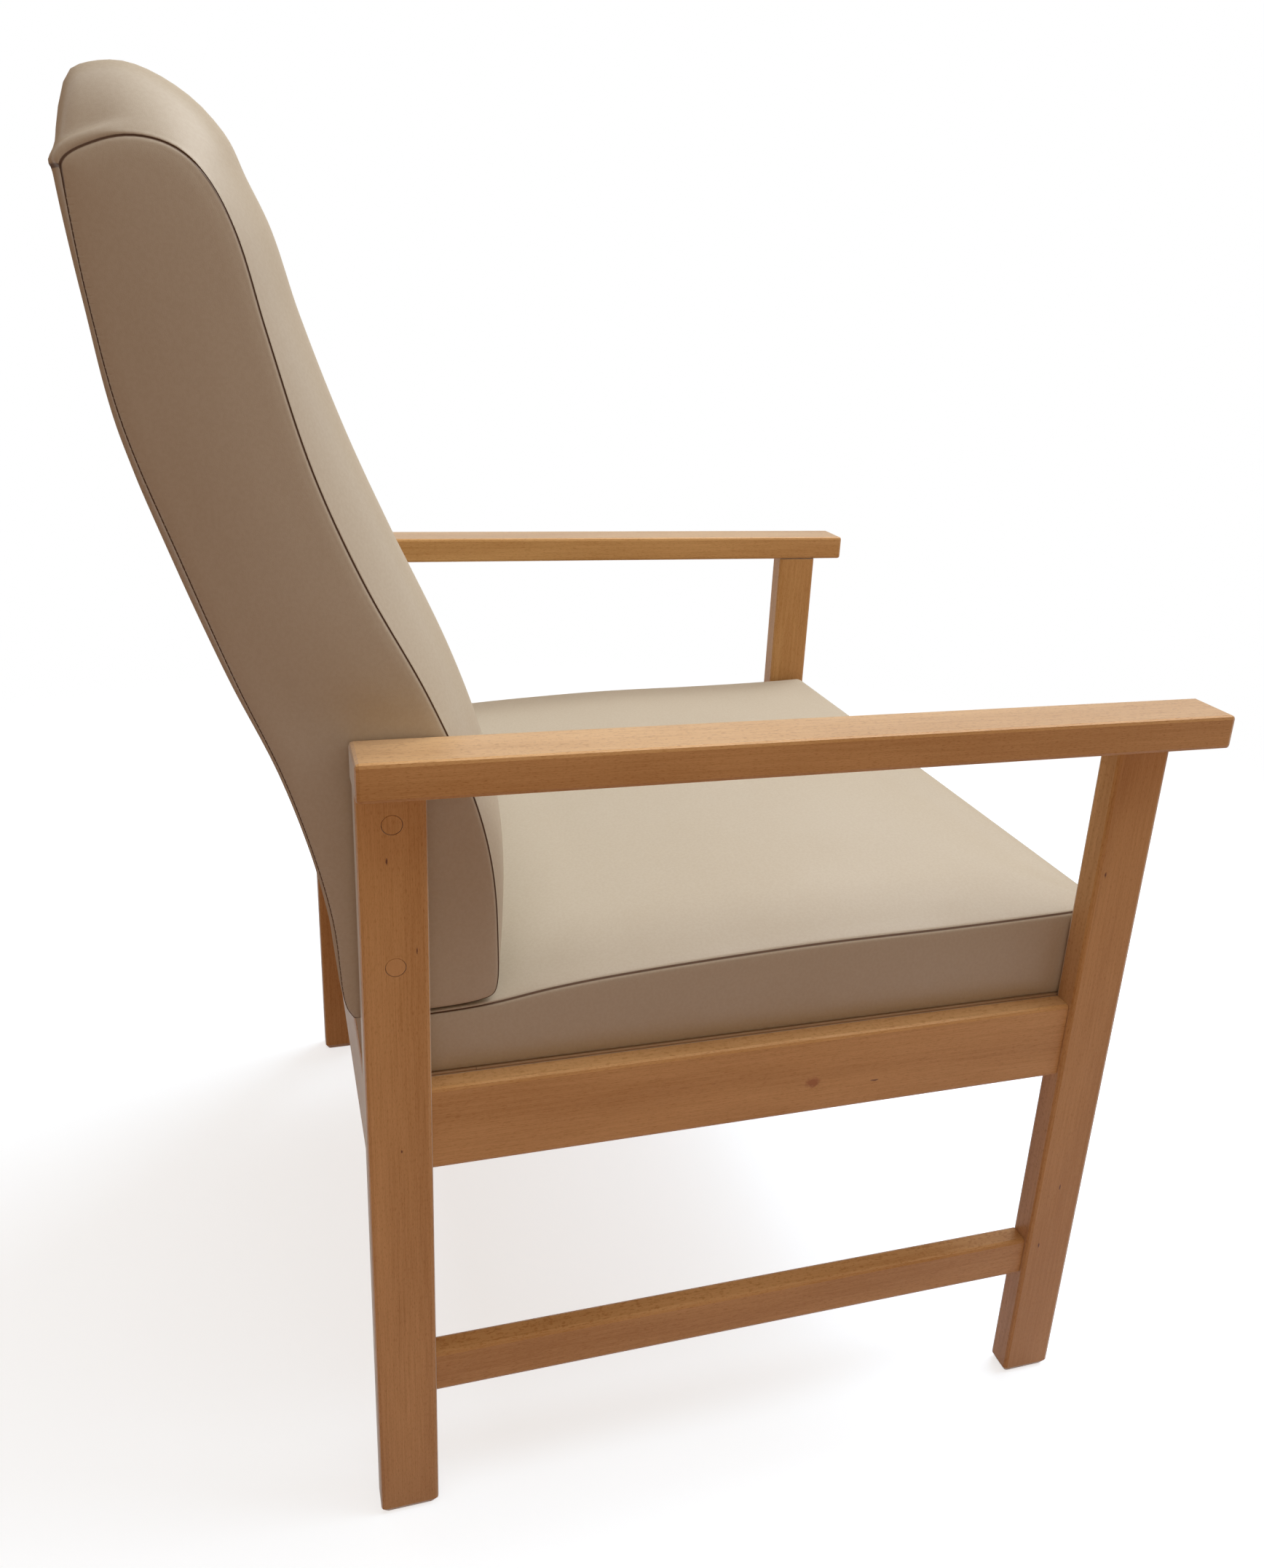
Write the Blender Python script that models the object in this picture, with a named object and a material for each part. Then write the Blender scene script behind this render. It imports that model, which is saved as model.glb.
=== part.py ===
"""High-back bariatric chair: a beech frame with a bolted back and a screwed-down seat, both upholstered.

Metres, +Z up. The sitter faces -Y, so the sitter's left is +X. The frame is laid out about the middle of
its legs and then moved so that the origin is on the floor under the middle of the whole chair.
"""
import math

import bmesh
import bpy
from mathutils import Matrix, Vector

# Timber frame
CLEAR_WIDTH = 0.690           # between the inner faces of the left and right legs
FRAME_DEPTH = 0.636           # front faces of the front legs to rear faces of the rear legs
LEG_WIDTH = 0.025             # across the chair
LEG_DEPTH = 0.047             # front to back
FOOT_CHAMFER = 0.006          # height of the chamfer round each foot
FOOT_TAPER = 0.0035           # how far that chamfer comes in on each side
RAIL_THICKNESS = 0.020
RAIL_HEIGHT = 0.070
RAIL_TOP = 0.406              # above the floor
FRONT_RAIL_INSET = 0.005      # behind the front faces of the front legs
REAR_RAIL_INSET = 0.001       # in front of the rear faces of the rear legs
STRETCHER_THICKNESS = 0.020
STRETCHER_HEIGHT = 0.0385
STRETCHER_BOTTOM = 0.118      # above the floor
ARM_RISE = 0.239              # underside of the arms above the rails
ARM_THICKNESS = 0.0275
ARM_WIDTH = 0.049
ARM_FRONT_OVERHANG = 0.036
ARM_REAR_OVERHANG = 0.001
EDGE_RADIUS = 0.003           # rounded edges of the planed timber
EDGE_SEGMENTS = 2
MERGE = 0.00001               # points closer than this are one point
SHARP_ANGLE = math.radians(35)     # edges that bend more than this stay crisp
STRAIGHT = math.cos(math.radians(1))

# Joinery
JOINT_GAP = 0.0003            # between pieces that touch
TENON_LENGTH = 0.022          # side rails and stretchers into the legs
TENON_THICKNESS = 0.008
TENON_SHOULDER = 0.008        # rail left above and below a tenon
CROSS_TENON_LENGTH = 0.012    # front and rear rails into the legs
ARM_TENON_WIDTH = 0.010
ARM_TENON_DEPTH = 0.028
ARM_TENON_HEIGHT = 0.014
CLEAT_WIDTH = 0.020
CLEAT_HEIGHT = 0.032
BLOCK_SIZE = 0.062            # corner blocks, along each rail
BLOCK_HEIGHT = 0.028
BLOCK_TIP = 0.008             # flat left at each tip of a corner block
SCREW_SETBACK = 0.022         # seat screws, from both rails

# Fasteners
ROUND_SIDES = 20
PLUG_RADIUS = 0.007
PLUG_THICKNESS = 0.004
PLUG_CHAMFER = 0.0004
BOLT_RADIUS = 0.004
BOLT_LENGTH = 0.037           # below the head
BOLT_HEAD_RADIUS = 0.0065
BOLT_HEAD_HEIGHT = 0.008
BOLT_SOCKET_RADIUS = 0.0034
BOLT_SOCKET_SIDES = 6
BOLT_SOCKET_DEPTH = 0.004
UPPER_BOLT_DROP = 0.025       # below the underside of the arms
LOWER_BOLT_DROP = 0.132
NUT_RADIUS = 0.0055
NUT_LENGTH = 0.018
NUT_FLANGE_RADIUS = 0.010
NUT_FLANGE_THICKNESS = 0.0015
SCREW_RADIUS = 0.0025
SCREW_HEAD_RADIUS = 0.005
SCREW_HEAD_HEIGHT = 0.003
SCREW_BITE = 0.010            # into the seat board
SCREW_POINT = 0.004

# Upholstery
UNIT_GAP = 0.0006             # between the seat or back and the legs
COVER_THICKNESS = 0.0016      # vinyl and its backing
FOAM_GAP = 0.0006             # between a cover and what it holds
SEAM_DRAW = 0.002             # how far a seam is drawn in

# Seat
SEAT_FRONT_SETBACK = 0.004    # behind the front faces of the front legs
SEAT_REAR_SETBACK = 0.002     # in front of the rear faces of the rear legs
SEAT_CORNER_RADIUS = 0.016
SEAT_SEAM = (                 # top seam: ahead of the rear faces of the rear legs, above the rails
    (0.000, 0.0500),          # under the back
    (0.055, 0.0502),
    (0.095, 0.0526),
    (0.140, 0.0595),
    (0.185, 0.0641),
    (0.265, 0.0690),
    (0.360, 0.0729),
    (0.480, 0.0742),
    (0.580, 0.0766),
    (0.640, 0.0795),          # front
)
SEAT_SEAM_STEPS = 4
SEAT_FREE = 0.203             # ahead of the rear faces of the rear legs the top panel is at its fullest
SEAT_PRESSED = 0.085          # and behind here it is pressed flat by the back
SEAT_ROLL = 0.005             # soft edge of the top panel above its seam
SEAT_ROLL_WIDTH = 0.030
SEAT_ROLL_PRESSED = 0.3       # share of the soft edge that is left under the back
SEAT_CROWN = 0.010            # middle of the top panel above its edge
SEAT_BOXING_ROLL = 0.010      # from the top seam down to where the boxing is full
SEAT_FOOT = 0.002             # turn of the boxing at its foot
SEAT_LIP = 0.014              # cover turned in under the board
BOARD_THICKNESS = 0.015
VENT_RADIUS = 0.016
VENT_SPACING = 0.200
SEAT_SIDE_POINTS = 18
SEAT_CORNER_POINTS = 3
SEAT_RINGS = (0.200, 0.120, 0.060, 0.025, 0.008)   # top panel, in from its edge

# Back. Its outlines are given as (behind the rear faces of the rear legs, above its own underside).
BACK_UNDERSIDE_GAP = 0.0035   # above the rear of the seat's seam
BACK_STRIP = (                # seam of the front panel, with how far the panel stands proud of it
    (0.138, 0.548, 0.003),    # head, at the rear panel
    (0.1285, 0.5565, 0.0405),
    (0.105, 0.564, 0.0405),   # top of the head roll
    (0.080, 0.559, 0.029),
    (0.063, 0.543, 0.020),    # front of the head roll
    (0.050, 0.515, 0.0195),
    (0.038, 0.467, 0.0215),   # neck
    (0.0155, 0.386, 0.0275),
    (-0.013, 0.316, 0.029),
    (-0.053, 0.238, 0.0255),
    (-0.083, 0.164, 0.021),
    (-0.0965, 0.105, 0.017),
    (-0.100, 0.040, 0.012),   # lumbar
    (-0.097, 0.012, 0.003),   # front lower corner
    (-0.087, 0.003, 0.000),
    (-0.068, 0.000, 0.000),   # underside
    (0.004, 0.000, 0.000),
)
BACK_REAR = (                 # seam of the rear panel, and how far that panel stands proud
    (0.138, 0.548, 0.0075),
    (0.1365, 0.520, 0.0058),
    (0.132, 0.479, 0.0045),
    (0.120, 0.410, 0.0055),
    (0.094, 0.329, 0.0065),
    (0.068, 0.253, 0.0055),
    (0.043, 0.188, 0.004),
    (0.025, 0.125, 0.003),
    (0.015, 0.074, 0.002),
    (0.010, 0.012, 0.001),
    (0.004, 0.000, 0.000),
)
HEAD_LEAN = 0.45              # the head's rear rises more than it goes back
BACK_ROLL_WIDTH = 0.070       # rounded edge of the front panel, across the chair
REAR_ROLL_WIDTH = 0.022       # the same for the rear panel
ROLL_POWER = 0.9              # below 1 the rounded edges fill out sooner
BACK_CROWN = 0.15             # how much prouder the front panel is in its middle
BACK_STATIONS = (0.000, 0.007, 0.022, 0.045, 0.075, 0.170)   # in from the gusset
STRIP_STEPS = 3
GUSSET_MARGIN = 0.007         # gusset stands flat this far inside its seams
OPENING_MARGIN = 0.040        # stapled opening under the back, in from its sides
FOAM_EDGE = 0.022             # foam behind the front seam
FRAME_FOOT = 0.004            # inner frame of the back, above the underside
FRAME_TOP = 0.520
FRAME_TURN = 0.040            # the frame's front edge runs straight down below this
FRAME_CREST = 0.543           # and follows the front seam up to this
PANEL_THICKNESS = 0.022       # shaped side panels
WEB_THICKNESS = 0.002
WEB_HEIGHT = 0.050
WEB_HEIGHTS = (0.110, 0.180, 0.310, 0.375, 0.440)    # middles, above the underside
CROSS_RAIL_THICKNESS = 0.022
CROSS_RAILS = {               # lowest and highest edge, above the underside
    "back_bottom_rail": (0.008, 0.078),
    "back_lumbar_rail": (0.212, 0.278),
    "back_top_rail": (0.470, 0.516),
}
CROSS_RAIL_TENON = 0.010      # into each side panel
CROSS_RAIL_SHOULDER = 0.007

# Finishes: base colour, roughness
BEECH = ((0.56, 0.31, 0.15), 0.38)
PLYWOOD = ((0.62, 0.45, 0.28), 0.60)
VINYL = ((0.60, 0.53, 0.42), 0.45)
FOAM = ((0.80, 0.76, 0.60), 0.95)
WEBBING = ((0.08, 0.08, 0.08), 0.90)
STEEL = ((0.56, 0.56, 0.58), 0.32)

# Places worked out from the dimensions
FRONT = -FRAME_DEPTH / 2
REAR = FRAME_DEPTH / 2
INNER = CLEAR_WIDTH / 2
OUTER = INNER + LEG_WIDTH
ARM_UNDERSIDE = RAIL_TOP + ARM_RISE
SIDES = {"left": 1, "right": -1}
UNIT_HALF = INNER - UNIT_GAP
LINING = COVER_THICKNESS + FOAM_GAP
BACK_UNDERSIDE = RAIL_TOP + SEAT_SEAM[0][1] + BACK_UNDERSIDE_GAP
PANEL_OUTER = UNIT_HALF - SEAM_DRAW - LINING
PANEL_INNER = PANEL_OUTER - PANEL_THICKNESS
PANEL_FRONT = FOAM_EDGE + WEB_THICKNESS + 2 * JOINT_GAP
BOLT_Y = REAR - LEG_DEPTH / 2
BOLT_HEIGHTS = {"upper": ARM_UNDERSIDE - UPPER_BOLT_DROP, "lower": ARM_UNDERSIDE - LOWER_BOLT_DROP}
BOLT_SEAT = PLUG_THICKNESS + BOLT_HEAD_HEIGHT + 2 * JOINT_GAP     # in from the leg's outer face
BOLT_END = OUTER - PANEL_INNER + PANEL_THICKNESS
FRONT_RAIL_Y = FRONT + FRONT_RAIL_INSET + RAIL_THICKNESS / 2
REAR_RAIL_Y = REAR - REAR_RAIL_INSET - RAIL_THICKNESS / 2
SEAT_BOTTOM = RAIL_TOP + JOINT_GAP
BOARD_BOTTOM = SEAT_BOTTOM + LINING
BOARD_TOP = BOARD_BOTTOM + BOARD_THICKNESS
SEAT_FRONT = FRONT + SEAT_FRONT_SETBACK
SEAT_REAR = REAR - SEAT_REAR_SETBACK


def clear_scene():
    """Removes everything that a new file holds."""
    for obj in list(bpy.data.objects):
        bpy.data.objects.remove(obj)


def make_root():
    """The empty that carries the whole chair."""
    root = bpy.data.objects.new("chair", None)
    bpy.context.collection.objects.link(root)
    return root


clear_scene()
CHAIR = make_root()


def make_material(name, finish):
    """A Principled material with a finish's colour, roughness and, for steel, metal."""
    colour, roughness = finish
    material = bpy.data.materials.new(name)
    material.use_nodes = True
    shader = material.node_tree.nodes["Principled BSDF"]
    shader.inputs["Base Color"].default_value = (*colour, 1.0)
    shader.inputs["Roughness"].default_value = roughness
    shader.inputs["Metallic"].default_value = 1.0 if finish is STEEL else 0.0
    return material


def add_object(name, bm, finish=None, location=(0, 0, 0), rotation=(0, 0, 0)):
    """Makes a mesh an object of the chair. Without a finish it is a cutter."""
    bmesh.ops.recalc_face_normals(bm, faces=bm.faces)
    mesh = bpy.data.meshes.new(name)
    bm.to_mesh(mesh)
    bm.free()
    obj = bpy.data.objects.new(name, mesh)
    bpy.context.collection.objects.link(obj)
    obj.parent = CHAIR
    obj.location = location
    obj.rotation_euler = rotation
    if finish:
        mesh.materials.append(make_material(name, finish))
        mesh.shade_smooth()
        mesh.set_sharp_from_angle(angle=SHARP_ANGLE)
    else:
        obj.hide_render = True
        obj.display_type = "WIRE"
    return obj


def combine(target, tool, operation):
    """Cuts a tool from a piece, or joins it on."""
    modifier = target.modifiers.new(tool.name, "BOOLEAN")
    modifier.operation = operation
    modifier.solver = "EXACT"
    modifier.object = tool


def add_box(bm, low, high):
    """Adds a box between two corners to a mesh."""
    low, high = Vector(low), Vector(high)
    size = high - low
    place = Matrix.Translation((low + high) / 2) @ Matrix.Diagonal((*size, 1.0))
    bmesh.ops.create_cube(bm, size=1.0, matrix=place)


def grown(box, gap):
    """A box made larger by a gap on every side."""
    low, high = box
    return tuple(v - gap for v in low), tuple(v + gap for v in high)


def boxes_object(name, boxes):
    """One cutter made of several boxes."""
    bm = bmesh.new()
    for low, high in boxes:
        add_box(bm, low, high)
    return add_object(name, bm)


def edges_along(bm, axis):
    """The edges of a mesh that run along an axis."""
    return [e for e in bm.edges
            if abs((e.verts[0].co - e.verts[1].co).normalized()[axis]) > STRAIGHT]


def round_edges(bm, edges):
    """Rounds edges to the frame's edge radius."""
    bmesh.ops.bevel(bm, geom=edges, offset=EDGE_RADIUS, segments=EDGE_SEGMENTS, profile=0.5, affect="EDGES")


def make_bar(name, size, centre, axis):
    """A planed timber with rounded long edges and square ends."""
    bm = bmesh.new()
    half = Vector(size) / 2
    add_box(bm, -half, half)
    round_edges(bm, edges_along(bm, axis))
    return add_object(name, bm, BEECH, centre)


def spin(bm, profile, place=Matrix()):
    """Adds a solid of revolution: (radius, height) points turned about the Z axis of a place."""
    rings = []
    for radius, height in profile:
        turns = ROUND_SIDES if radius else 1
        angles = [2 * math.pi * k / ROUND_SIDES for k in range(turns)]
        rings.append([bm.verts.new(place @ Vector((radius * math.cos(a), radius * math.sin(a), height)))
                      for a in angles])
    bridge(bm, rings)


def rod(radius, low, high):
    """Profile of a plain round rod."""
    return (0, low), (radius, low), (radius, high), (0, high)


def make_turned(name, profile, finish, location, rotation=(0, 0, 0)):
    """A turned piece. A profile that ends where it starts makes a ring."""
    bm = bmesh.new()
    spin(bm, profile)
    bmesh.ops.remove_doubles(bm, verts=bm.verts, dist=MERGE)
    return add_object(name, bm, finish, location, rotation)


def bridge(bm, rings):
    """Joins rings of vertices with faces; a ring of one vertex is a pole."""
    for first, second in zip(rings, rings[1:]):
        for k in range(max(len(first), len(second))):
            corners = [first[k % len(first)], first[(k + 1) % len(first)],
                       second[(k + 1) % len(second)], second[k % len(second)]]
            bm.faces.new(list(dict.fromkeys(corners)))


def tenon_boxes():
    """The through-running core of each rail and stretcher, whose ends are its tenons."""
    side_reach = REAR - LEG_DEPTH + TENON_LENGTH
    cross_reach = INNER + CROSS_TENON_LENGTH
    rail_low, rail_high = RAIL_TOP - RAIL_HEIGHT + TENON_SHOULDER, RAIL_TOP - TENON_SHOULDER
    bar_low = STRETCHER_BOTTOM + TENON_SHOULDER
    bar_high = STRETCHER_BOTTOM + STRETCHER_HEIGHT - TENON_SHOULDER
    boxes = {}
    for label, side in SIDES.items():
        for kind, thickness, low, high in (("rail", RAIL_THICKNESS, rail_low, rail_high),
                                           ("stretcher", STRETCHER_THICKNESS, bar_low, bar_high)):
            x = side * (INNER + thickness / 2)
            boxes[f"side_{kind}_{label}"] = ((x - TENON_THICKNESS / 2, -side_reach, low),
                                             (x + TENON_THICKNESS / 2, side_reach, high))
    for name, y in (("front_rail", FRONT_RAIL_Y), ("rear_rail", REAR_RAIL_Y)):
        boxes[name] = ((-cross_reach, y - TENON_THICKNESS / 2, rail_low),
                       (cross_reach, y + TENON_THICKNESS / 2, rail_high))
    return boxes


def make_rails():
    """Side rails, stretchers and the front and rear rails, each with a tenon at both ends."""
    side_length = FRAME_DEPTH - 2 * LEG_DEPTH - 2 * JOINT_GAP
    cross_length = CLEAR_WIDTH - 2 * JOINT_GAP
    rail_z = RAIL_TOP - RAIL_HEIGHT / 2
    bars = []
    for label, side in SIDES.items():
        bars.append(make_bar(f"side_rail_{label}", (RAIL_THICKNESS, side_length, RAIL_HEIGHT),
                             (side * (INNER + RAIL_THICKNESS / 2), 0, rail_z), 1))
        bars.append(make_bar(f"side_stretcher_{label}", (STRETCHER_THICKNESS, side_length, STRETCHER_HEIGHT),
                             (side * (INNER + STRETCHER_THICKNESS / 2), 0,
                              STRETCHER_BOTTOM + STRETCHER_HEIGHT / 2), 1))
    for name, y in (("front_rail", FRONT_RAIL_Y), ("rear_rail", REAR_RAIL_Y)):
        bars.append(make_bar(name, (cross_length, RAIL_THICKNESS, RAIL_HEIGHT), (0, y, rail_z), 0))
    tenons = tenon_boxes()
    for bar in bars:
        combine(bar, boxes_object(f"{bar.name}_tenon", [tenons[bar.name]]), "UNION")


def leg_places():
    """The name and the centre of each leg."""
    for label, side in SIDES.items():
        x = side * (INNER + LEG_WIDTH / 2)
        yield f"front_leg_{label}", x, FRONT + LEG_DEPTH / 2
        yield f"rear_leg_{label}", x, REAR - LEG_DEPTH / 2


def arm_tenon(x, y):
    """The tenon on top of a leg, as a box that starts well inside the leg."""
    return ((x - ARM_TENON_WIDTH / 2, y - ARM_TENON_DEPTH / 2, ARM_UNDERSIDE - ARM_TENON_HEIGHT),
            (x + ARM_TENON_WIDTH / 2, y + ARM_TENON_DEPTH / 2, ARM_UNDERSIDE + ARM_TENON_HEIGHT))


def make_legs(bolt_way):
    """Four legs with chamfered feet, mortises for the rails and a tenon for the arm."""
    mortises = boxes_object("mortises", [grown(box, JOINT_GAP) for box in tenon_boxes().values()])
    top = ARM_UNDERSIDE - JOINT_GAP
    for name, x, y in leg_places():
        bm = bmesh.new()
        add_box(bm, (-LEG_WIDTH / 2, -LEG_DEPTH / 2, FOOT_CHAMFER), (LEG_WIDTH / 2, LEG_DEPTH / 2, top))
        round_edges(bm, edges_along(bm, 2))
        bm.faces.ensure_lookup_table()
        sole = min(bm.faces, key=lambda face: face.calc_center_median().z)
        foot = bmesh.ops.extrude_face_region(bm, geom=[sole])["geom"]
        bmesh.ops.delete(bm, geom=[sole], context="FACES_ONLY")
        foot_verts = [v for v in foot if isinstance(v, bmesh.types.BMVert)]
        bmesh.ops.translate(bm, verts=foot_verts, vec=(0, 0, -FOOT_CHAMFER))
        bmesh.ops.scale(bm, verts=foot_verts,
                        vec=(1 - 2 * FOOT_TAPER / LEG_WIDTH, 1 - 2 * FOOT_TAPER / LEG_DEPTH, 1))
        leg = add_object(name, bm, BEECH, (x, y, 0))
        combine(leg, boxes_object(f"{name}_tenon", [arm_tenon(x, y)]), "UNION")
        combine(leg, mortises, "DIFFERENCE")
        if name.startswith("rear"):
            combine(leg, bolt_way, "DIFFERENCE")


def make_arms():
    """Two armrests, flush with the legs' inner faces, with mortises for the legs' tenons."""
    mortises = boxes_object("arm_mortises", [grown(arm_tenon(x, y), JOINT_GAP) for _, x, y in leg_places()])
    length = FRAME_DEPTH + ARM_FRONT_OVERHANG + ARM_REAR_OVERHANG
    half = Vector((ARM_WIDTH, length, ARM_THICKNESS)) / 2
    for label, side in SIDES.items():
        bm = bmesh.new()
        add_box(bm, -half, half)
        round_edges(bm, list(bm.edges))
        centre = (side * (INNER + ARM_WIDTH / 2), (ARM_REAR_OVERHANG - ARM_FRONT_OVERHANG) / 2,
                  ARM_UNDERSIDE + ARM_THICKNESS / 2)
        combine(add_object(f"armrest_{label}", bm, BEECH, centre), mortises, "DIFFERENCE")


def block_corners():
    """Each corner of the rails: its name, its inside corner, and the ways along X and Y into the chair."""
    front = FRONT_RAIL_Y + RAIL_THICKNESS / 2 + JOINT_GAP
    rear = REAR_RAIL_Y - RAIL_THICKNESS / 2 - JOINT_GAP
    for label, side in SIDES.items():
        yield f"front_{label}", side * (INNER - JOINT_GAP), front, -side, 1
        yield f"rear_{label}", side * (INNER - JOINT_GAP), rear, -side, -1


def seat_screws():
    """The name and place of each seat screw."""
    for name, x, y, way_x, way_y in block_corners():
        yield name, x + way_x * SCREW_SETBACK, y + way_y * SCREW_SETBACK


def screw_way():
    """Cutter for the holes of the seat screws."""
    bm = bmesh.new()
    hole = rod(SCREW_RADIUS + JOINT_GAP, RAIL_TOP - 2 * BLOCK_HEIGHT, BOARD_BOTTOM + SCREW_BITE + JOINT_GAP)
    for _, x, y in seat_screws():
        spin(bm, hole, Matrix.Translation((x, y, 0)))
    return add_object("screw_way", bm)


def add_prism(bm, outline, axis, low, high):
    """A solid whose closed outline, in the other two axes, runs from low to high along an axis."""
    def corner(point, level):
        values = list(point)
        values.insert(axis, level)
        return bm.verts.new(values)
    first = [corner(p, low) for p in outline]
    second = [corner(p, high) for p in outline]
    bridge(bm, [first, second])
    bm.faces.new(first)
    bm.faces.new(second)


def make_supports(holes):
    """Corner blocks, cleats and the screws that hold the seat down."""
    for name, x, y, way_x, way_y in block_corners():
        bm = bmesh.new()
        outline = [(x + way_x * a, y + way_y * b) for a, b in (
            (0, 0), (BLOCK_SIZE, 0), (BLOCK_SIZE, BLOCK_TIP), (BLOCK_TIP, BLOCK_SIZE), (0, BLOCK_SIZE))]
        add_prism(bm, outline, 2, RAIL_TOP - BLOCK_HEIGHT, RAIL_TOP)
        combine(add_object(f"corner_block_{name}", bm, PLYWOOD), holes, "DIFFERENCE")
    block_ends = [y + way * (BLOCK_SIZE + JOINT_GAP) for _, _, y, _, way in block_corners()]
    for label, side in SIDES.items():
        bm = bmesh.new()
        x = side * (INNER - JOINT_GAP - CLEAT_WIDTH / 2)
        add_box(bm, (x - CLEAT_WIDTH / 2, min(block_ends), RAIL_TOP - CLEAT_HEIGHT),
                (x + CLEAT_WIDTH / 2, max(block_ends), RAIL_TOP))
        add_object(f"seat_cleat_{label}", bm, PLYWOOD)
    head = RAIL_TOP - BLOCK_HEIGHT - JOINT_GAP
    tip = BOARD_BOTTOM + SCREW_BITE
    profile = ((0, head - SCREW_HEAD_HEIGHT), (SCREW_HEAD_RADIUS / 2, head - SCREW_HEAD_HEIGHT),
               (SCREW_HEAD_RADIUS, head - SCREW_HEAD_HEIGHT / 2), (SCREW_HEAD_RADIUS, head),
               (SCREW_RADIUS, head), (SCREW_RADIUS, tip - SCREW_POINT), (0, tip))
    for name, x, y in seat_screws():
        make_turned(f"seat_screw_{name}", profile, STEEL, (x, y, 0))


def bolt_places():
    """Each back bolt: its name, its place on the leg's outer face and its turn from +Z to inwards."""
    for label, side in SIDES.items():
        for level, height in BOLT_HEIGHTS.items():
            yield f"{level}_{label}", (side * OUTER, BOLT_Y, height), (0, -side * math.pi / 2, 0)


def drill(name, profile):
    """Cutter of round holes along every bolt, in from the legs' outer faces."""
    bm = bmesh.new()
    for _, place, turn in bolt_places():
        spin(bm, profile, Matrix.Translation(place) @ Matrix.Rotation(turn[1], 4, "Y"))
    return add_object(name, bm)


def make_bolts():
    """Back bolts with a socket head, their cover plugs and their tee nuts."""
    head = PLUG_THICKNESS + JOINT_GAP
    seat = head + BOLT_HEAD_HEIGHT
    bolt = ((0, head), (BOLT_HEAD_RADIUS, head), (BOLT_HEAD_RADIUS, seat), (BOLT_RADIUS, seat),
            (BOLT_RADIUS, seat + BOLT_LENGTH), (0, seat + BOLT_LENGTH))
    plug = ((0, 0), (PLUG_RADIUS - PLUG_CHAMFER, 0), (PLUG_RADIUS, PLUG_CHAMFER),
            (PLUG_RADIUS, PLUG_THICKNESS), (0, PLUG_THICKNESS))
    nut_end = OUTER - PANEL_INNER + JOINT_GAP
    bore = BOLT_RADIUS + JOINT_GAP
    nut = ((bore, nut_end - NUT_LENGTH), (NUT_RADIUS, nut_end - NUT_LENGTH), (NUT_RADIUS, nut_end),
           (NUT_FLANGE_RADIUS, nut_end), (NUT_FLANGE_RADIUS, nut_end + NUT_FLANGE_THICKNESS),
           (bore, nut_end + NUT_FLANGE_THICKNESS), (bore, nut_end - NUT_LENGTH))
    for name, place, turn in bolt_places():
        screw = make_turned(f"back_bolt_{name}", bolt, STEEL, place, turn)
        bm = bmesh.new()
        bmesh.ops.create_cone(bm, cap_ends=True, segments=BOLT_SOCKET_SIDES, radius1=BOLT_SOCKET_RADIUS,
                              radius2=BOLT_SOCKET_RADIUS, depth=2 * BOLT_SOCKET_DEPTH,
                              matrix=Matrix.Translation((0, 0, head)))
        combine(screw, add_object(f"{screw.name}_socket", bm, None, place, turn), "DIFFERENCE")
        make_turned(f"cover_plug_{name}", plug, BEECH, place, turn)
        make_turned(f"tee_nut_{name}", nut, STEEL, place, turn)


def smooth(t):
    """A smooth step from 0 to 1."""
    t = min(max(t, 0), 1)
    return t * t * (3 - 2 * t)


def seat_seam(y):
    """Height of the seat's top seam at a place along its depth."""
    line = curve_through(SEAT_SEAM, SEAT_SEAM_STEPS)
    ahead = min(max(REAR - y, line[0][0]), line[-1][0])
    near, far = next((a, b) for a, b in zip(line, line[1:]) if ahead <= b[0])
    return RAIL_TOP + near.lerp(far, (ahead - near[0]) / (far[0] - near[0]))[1]


def seat_outline(inset):
    """The seat's plan, a rectangle with round corners, drawn in by an inset."""
    half = (UNIT_HALF - inset, (SEAT_REAR - SEAT_FRONT) / 2 - inset)
    radius = max(SEAT_CORNER_RADIUS - inset, SEAT_CORNER_RADIUS / 4)
    centre_y = (SEAT_REAR + SEAT_FRONT) / 2
    points = []
    for quarter in range(4):
        sign = ((1, 1), (-1, 1), (-1, -1), (1, -1))[quarter]
        corner = [sign[0] * (half[0] - radius), sign[1] * (half[1] - radius)]
        arc = [quarter * math.pi / 2 + k * math.pi / 2 / SEAT_CORNER_POINTS
               for k in range(SEAT_CORNER_POINTS + 1)]
        points += [Vector((corner[0] + radius * math.cos(a), centre_y + corner[1] + radius * math.sin(a)))
                   for a in arc]
    loop = []
    for k, point in enumerate(points):
        loop.append(point)
        if k % (SEAT_CORNER_POINTS + 1) == SEAT_CORNER_POINTS:
            following = points[(k + 1) % len(points)]
            loop += [point.lerp(following, n / SEAT_SIDE_POINTS) for n in range(1, SEAT_SIDE_POINTS)]
    return loop


def seat_top(x, y, inset):
    """Height of the seat's top panel: its seam, a soft edge and a crown that dies out under the back."""
    edge = min(UNIT_HALF - abs(x), y - SEAT_FRONT, SEAT_REAR - y)
    roll = math.sqrt(1 - (1 - min(max(edge / SEAT_ROLL_WIDTH, 0), 1)) ** 2)
    middle = (SEAT_FRONT + REAR - SEAT_FREE) / 2
    reach = REAR - SEAT_FREE - middle
    crown = max(1 - (x / UNIT_HALF) ** 2, 0) * max(1 - (max(y, 2 * middle - y) - middle) ** 2 / reach ** 2, 0)
    free = 1 - smooth((y - REAR + SEAT_FREE) / (SEAT_FREE - SEAT_PRESSED))
    return seat_seam(y) + max(free, SEAT_ROLL_PRESSED) * SEAT_ROLL * roll + free * SEAT_CROWN * crown - inset


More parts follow.
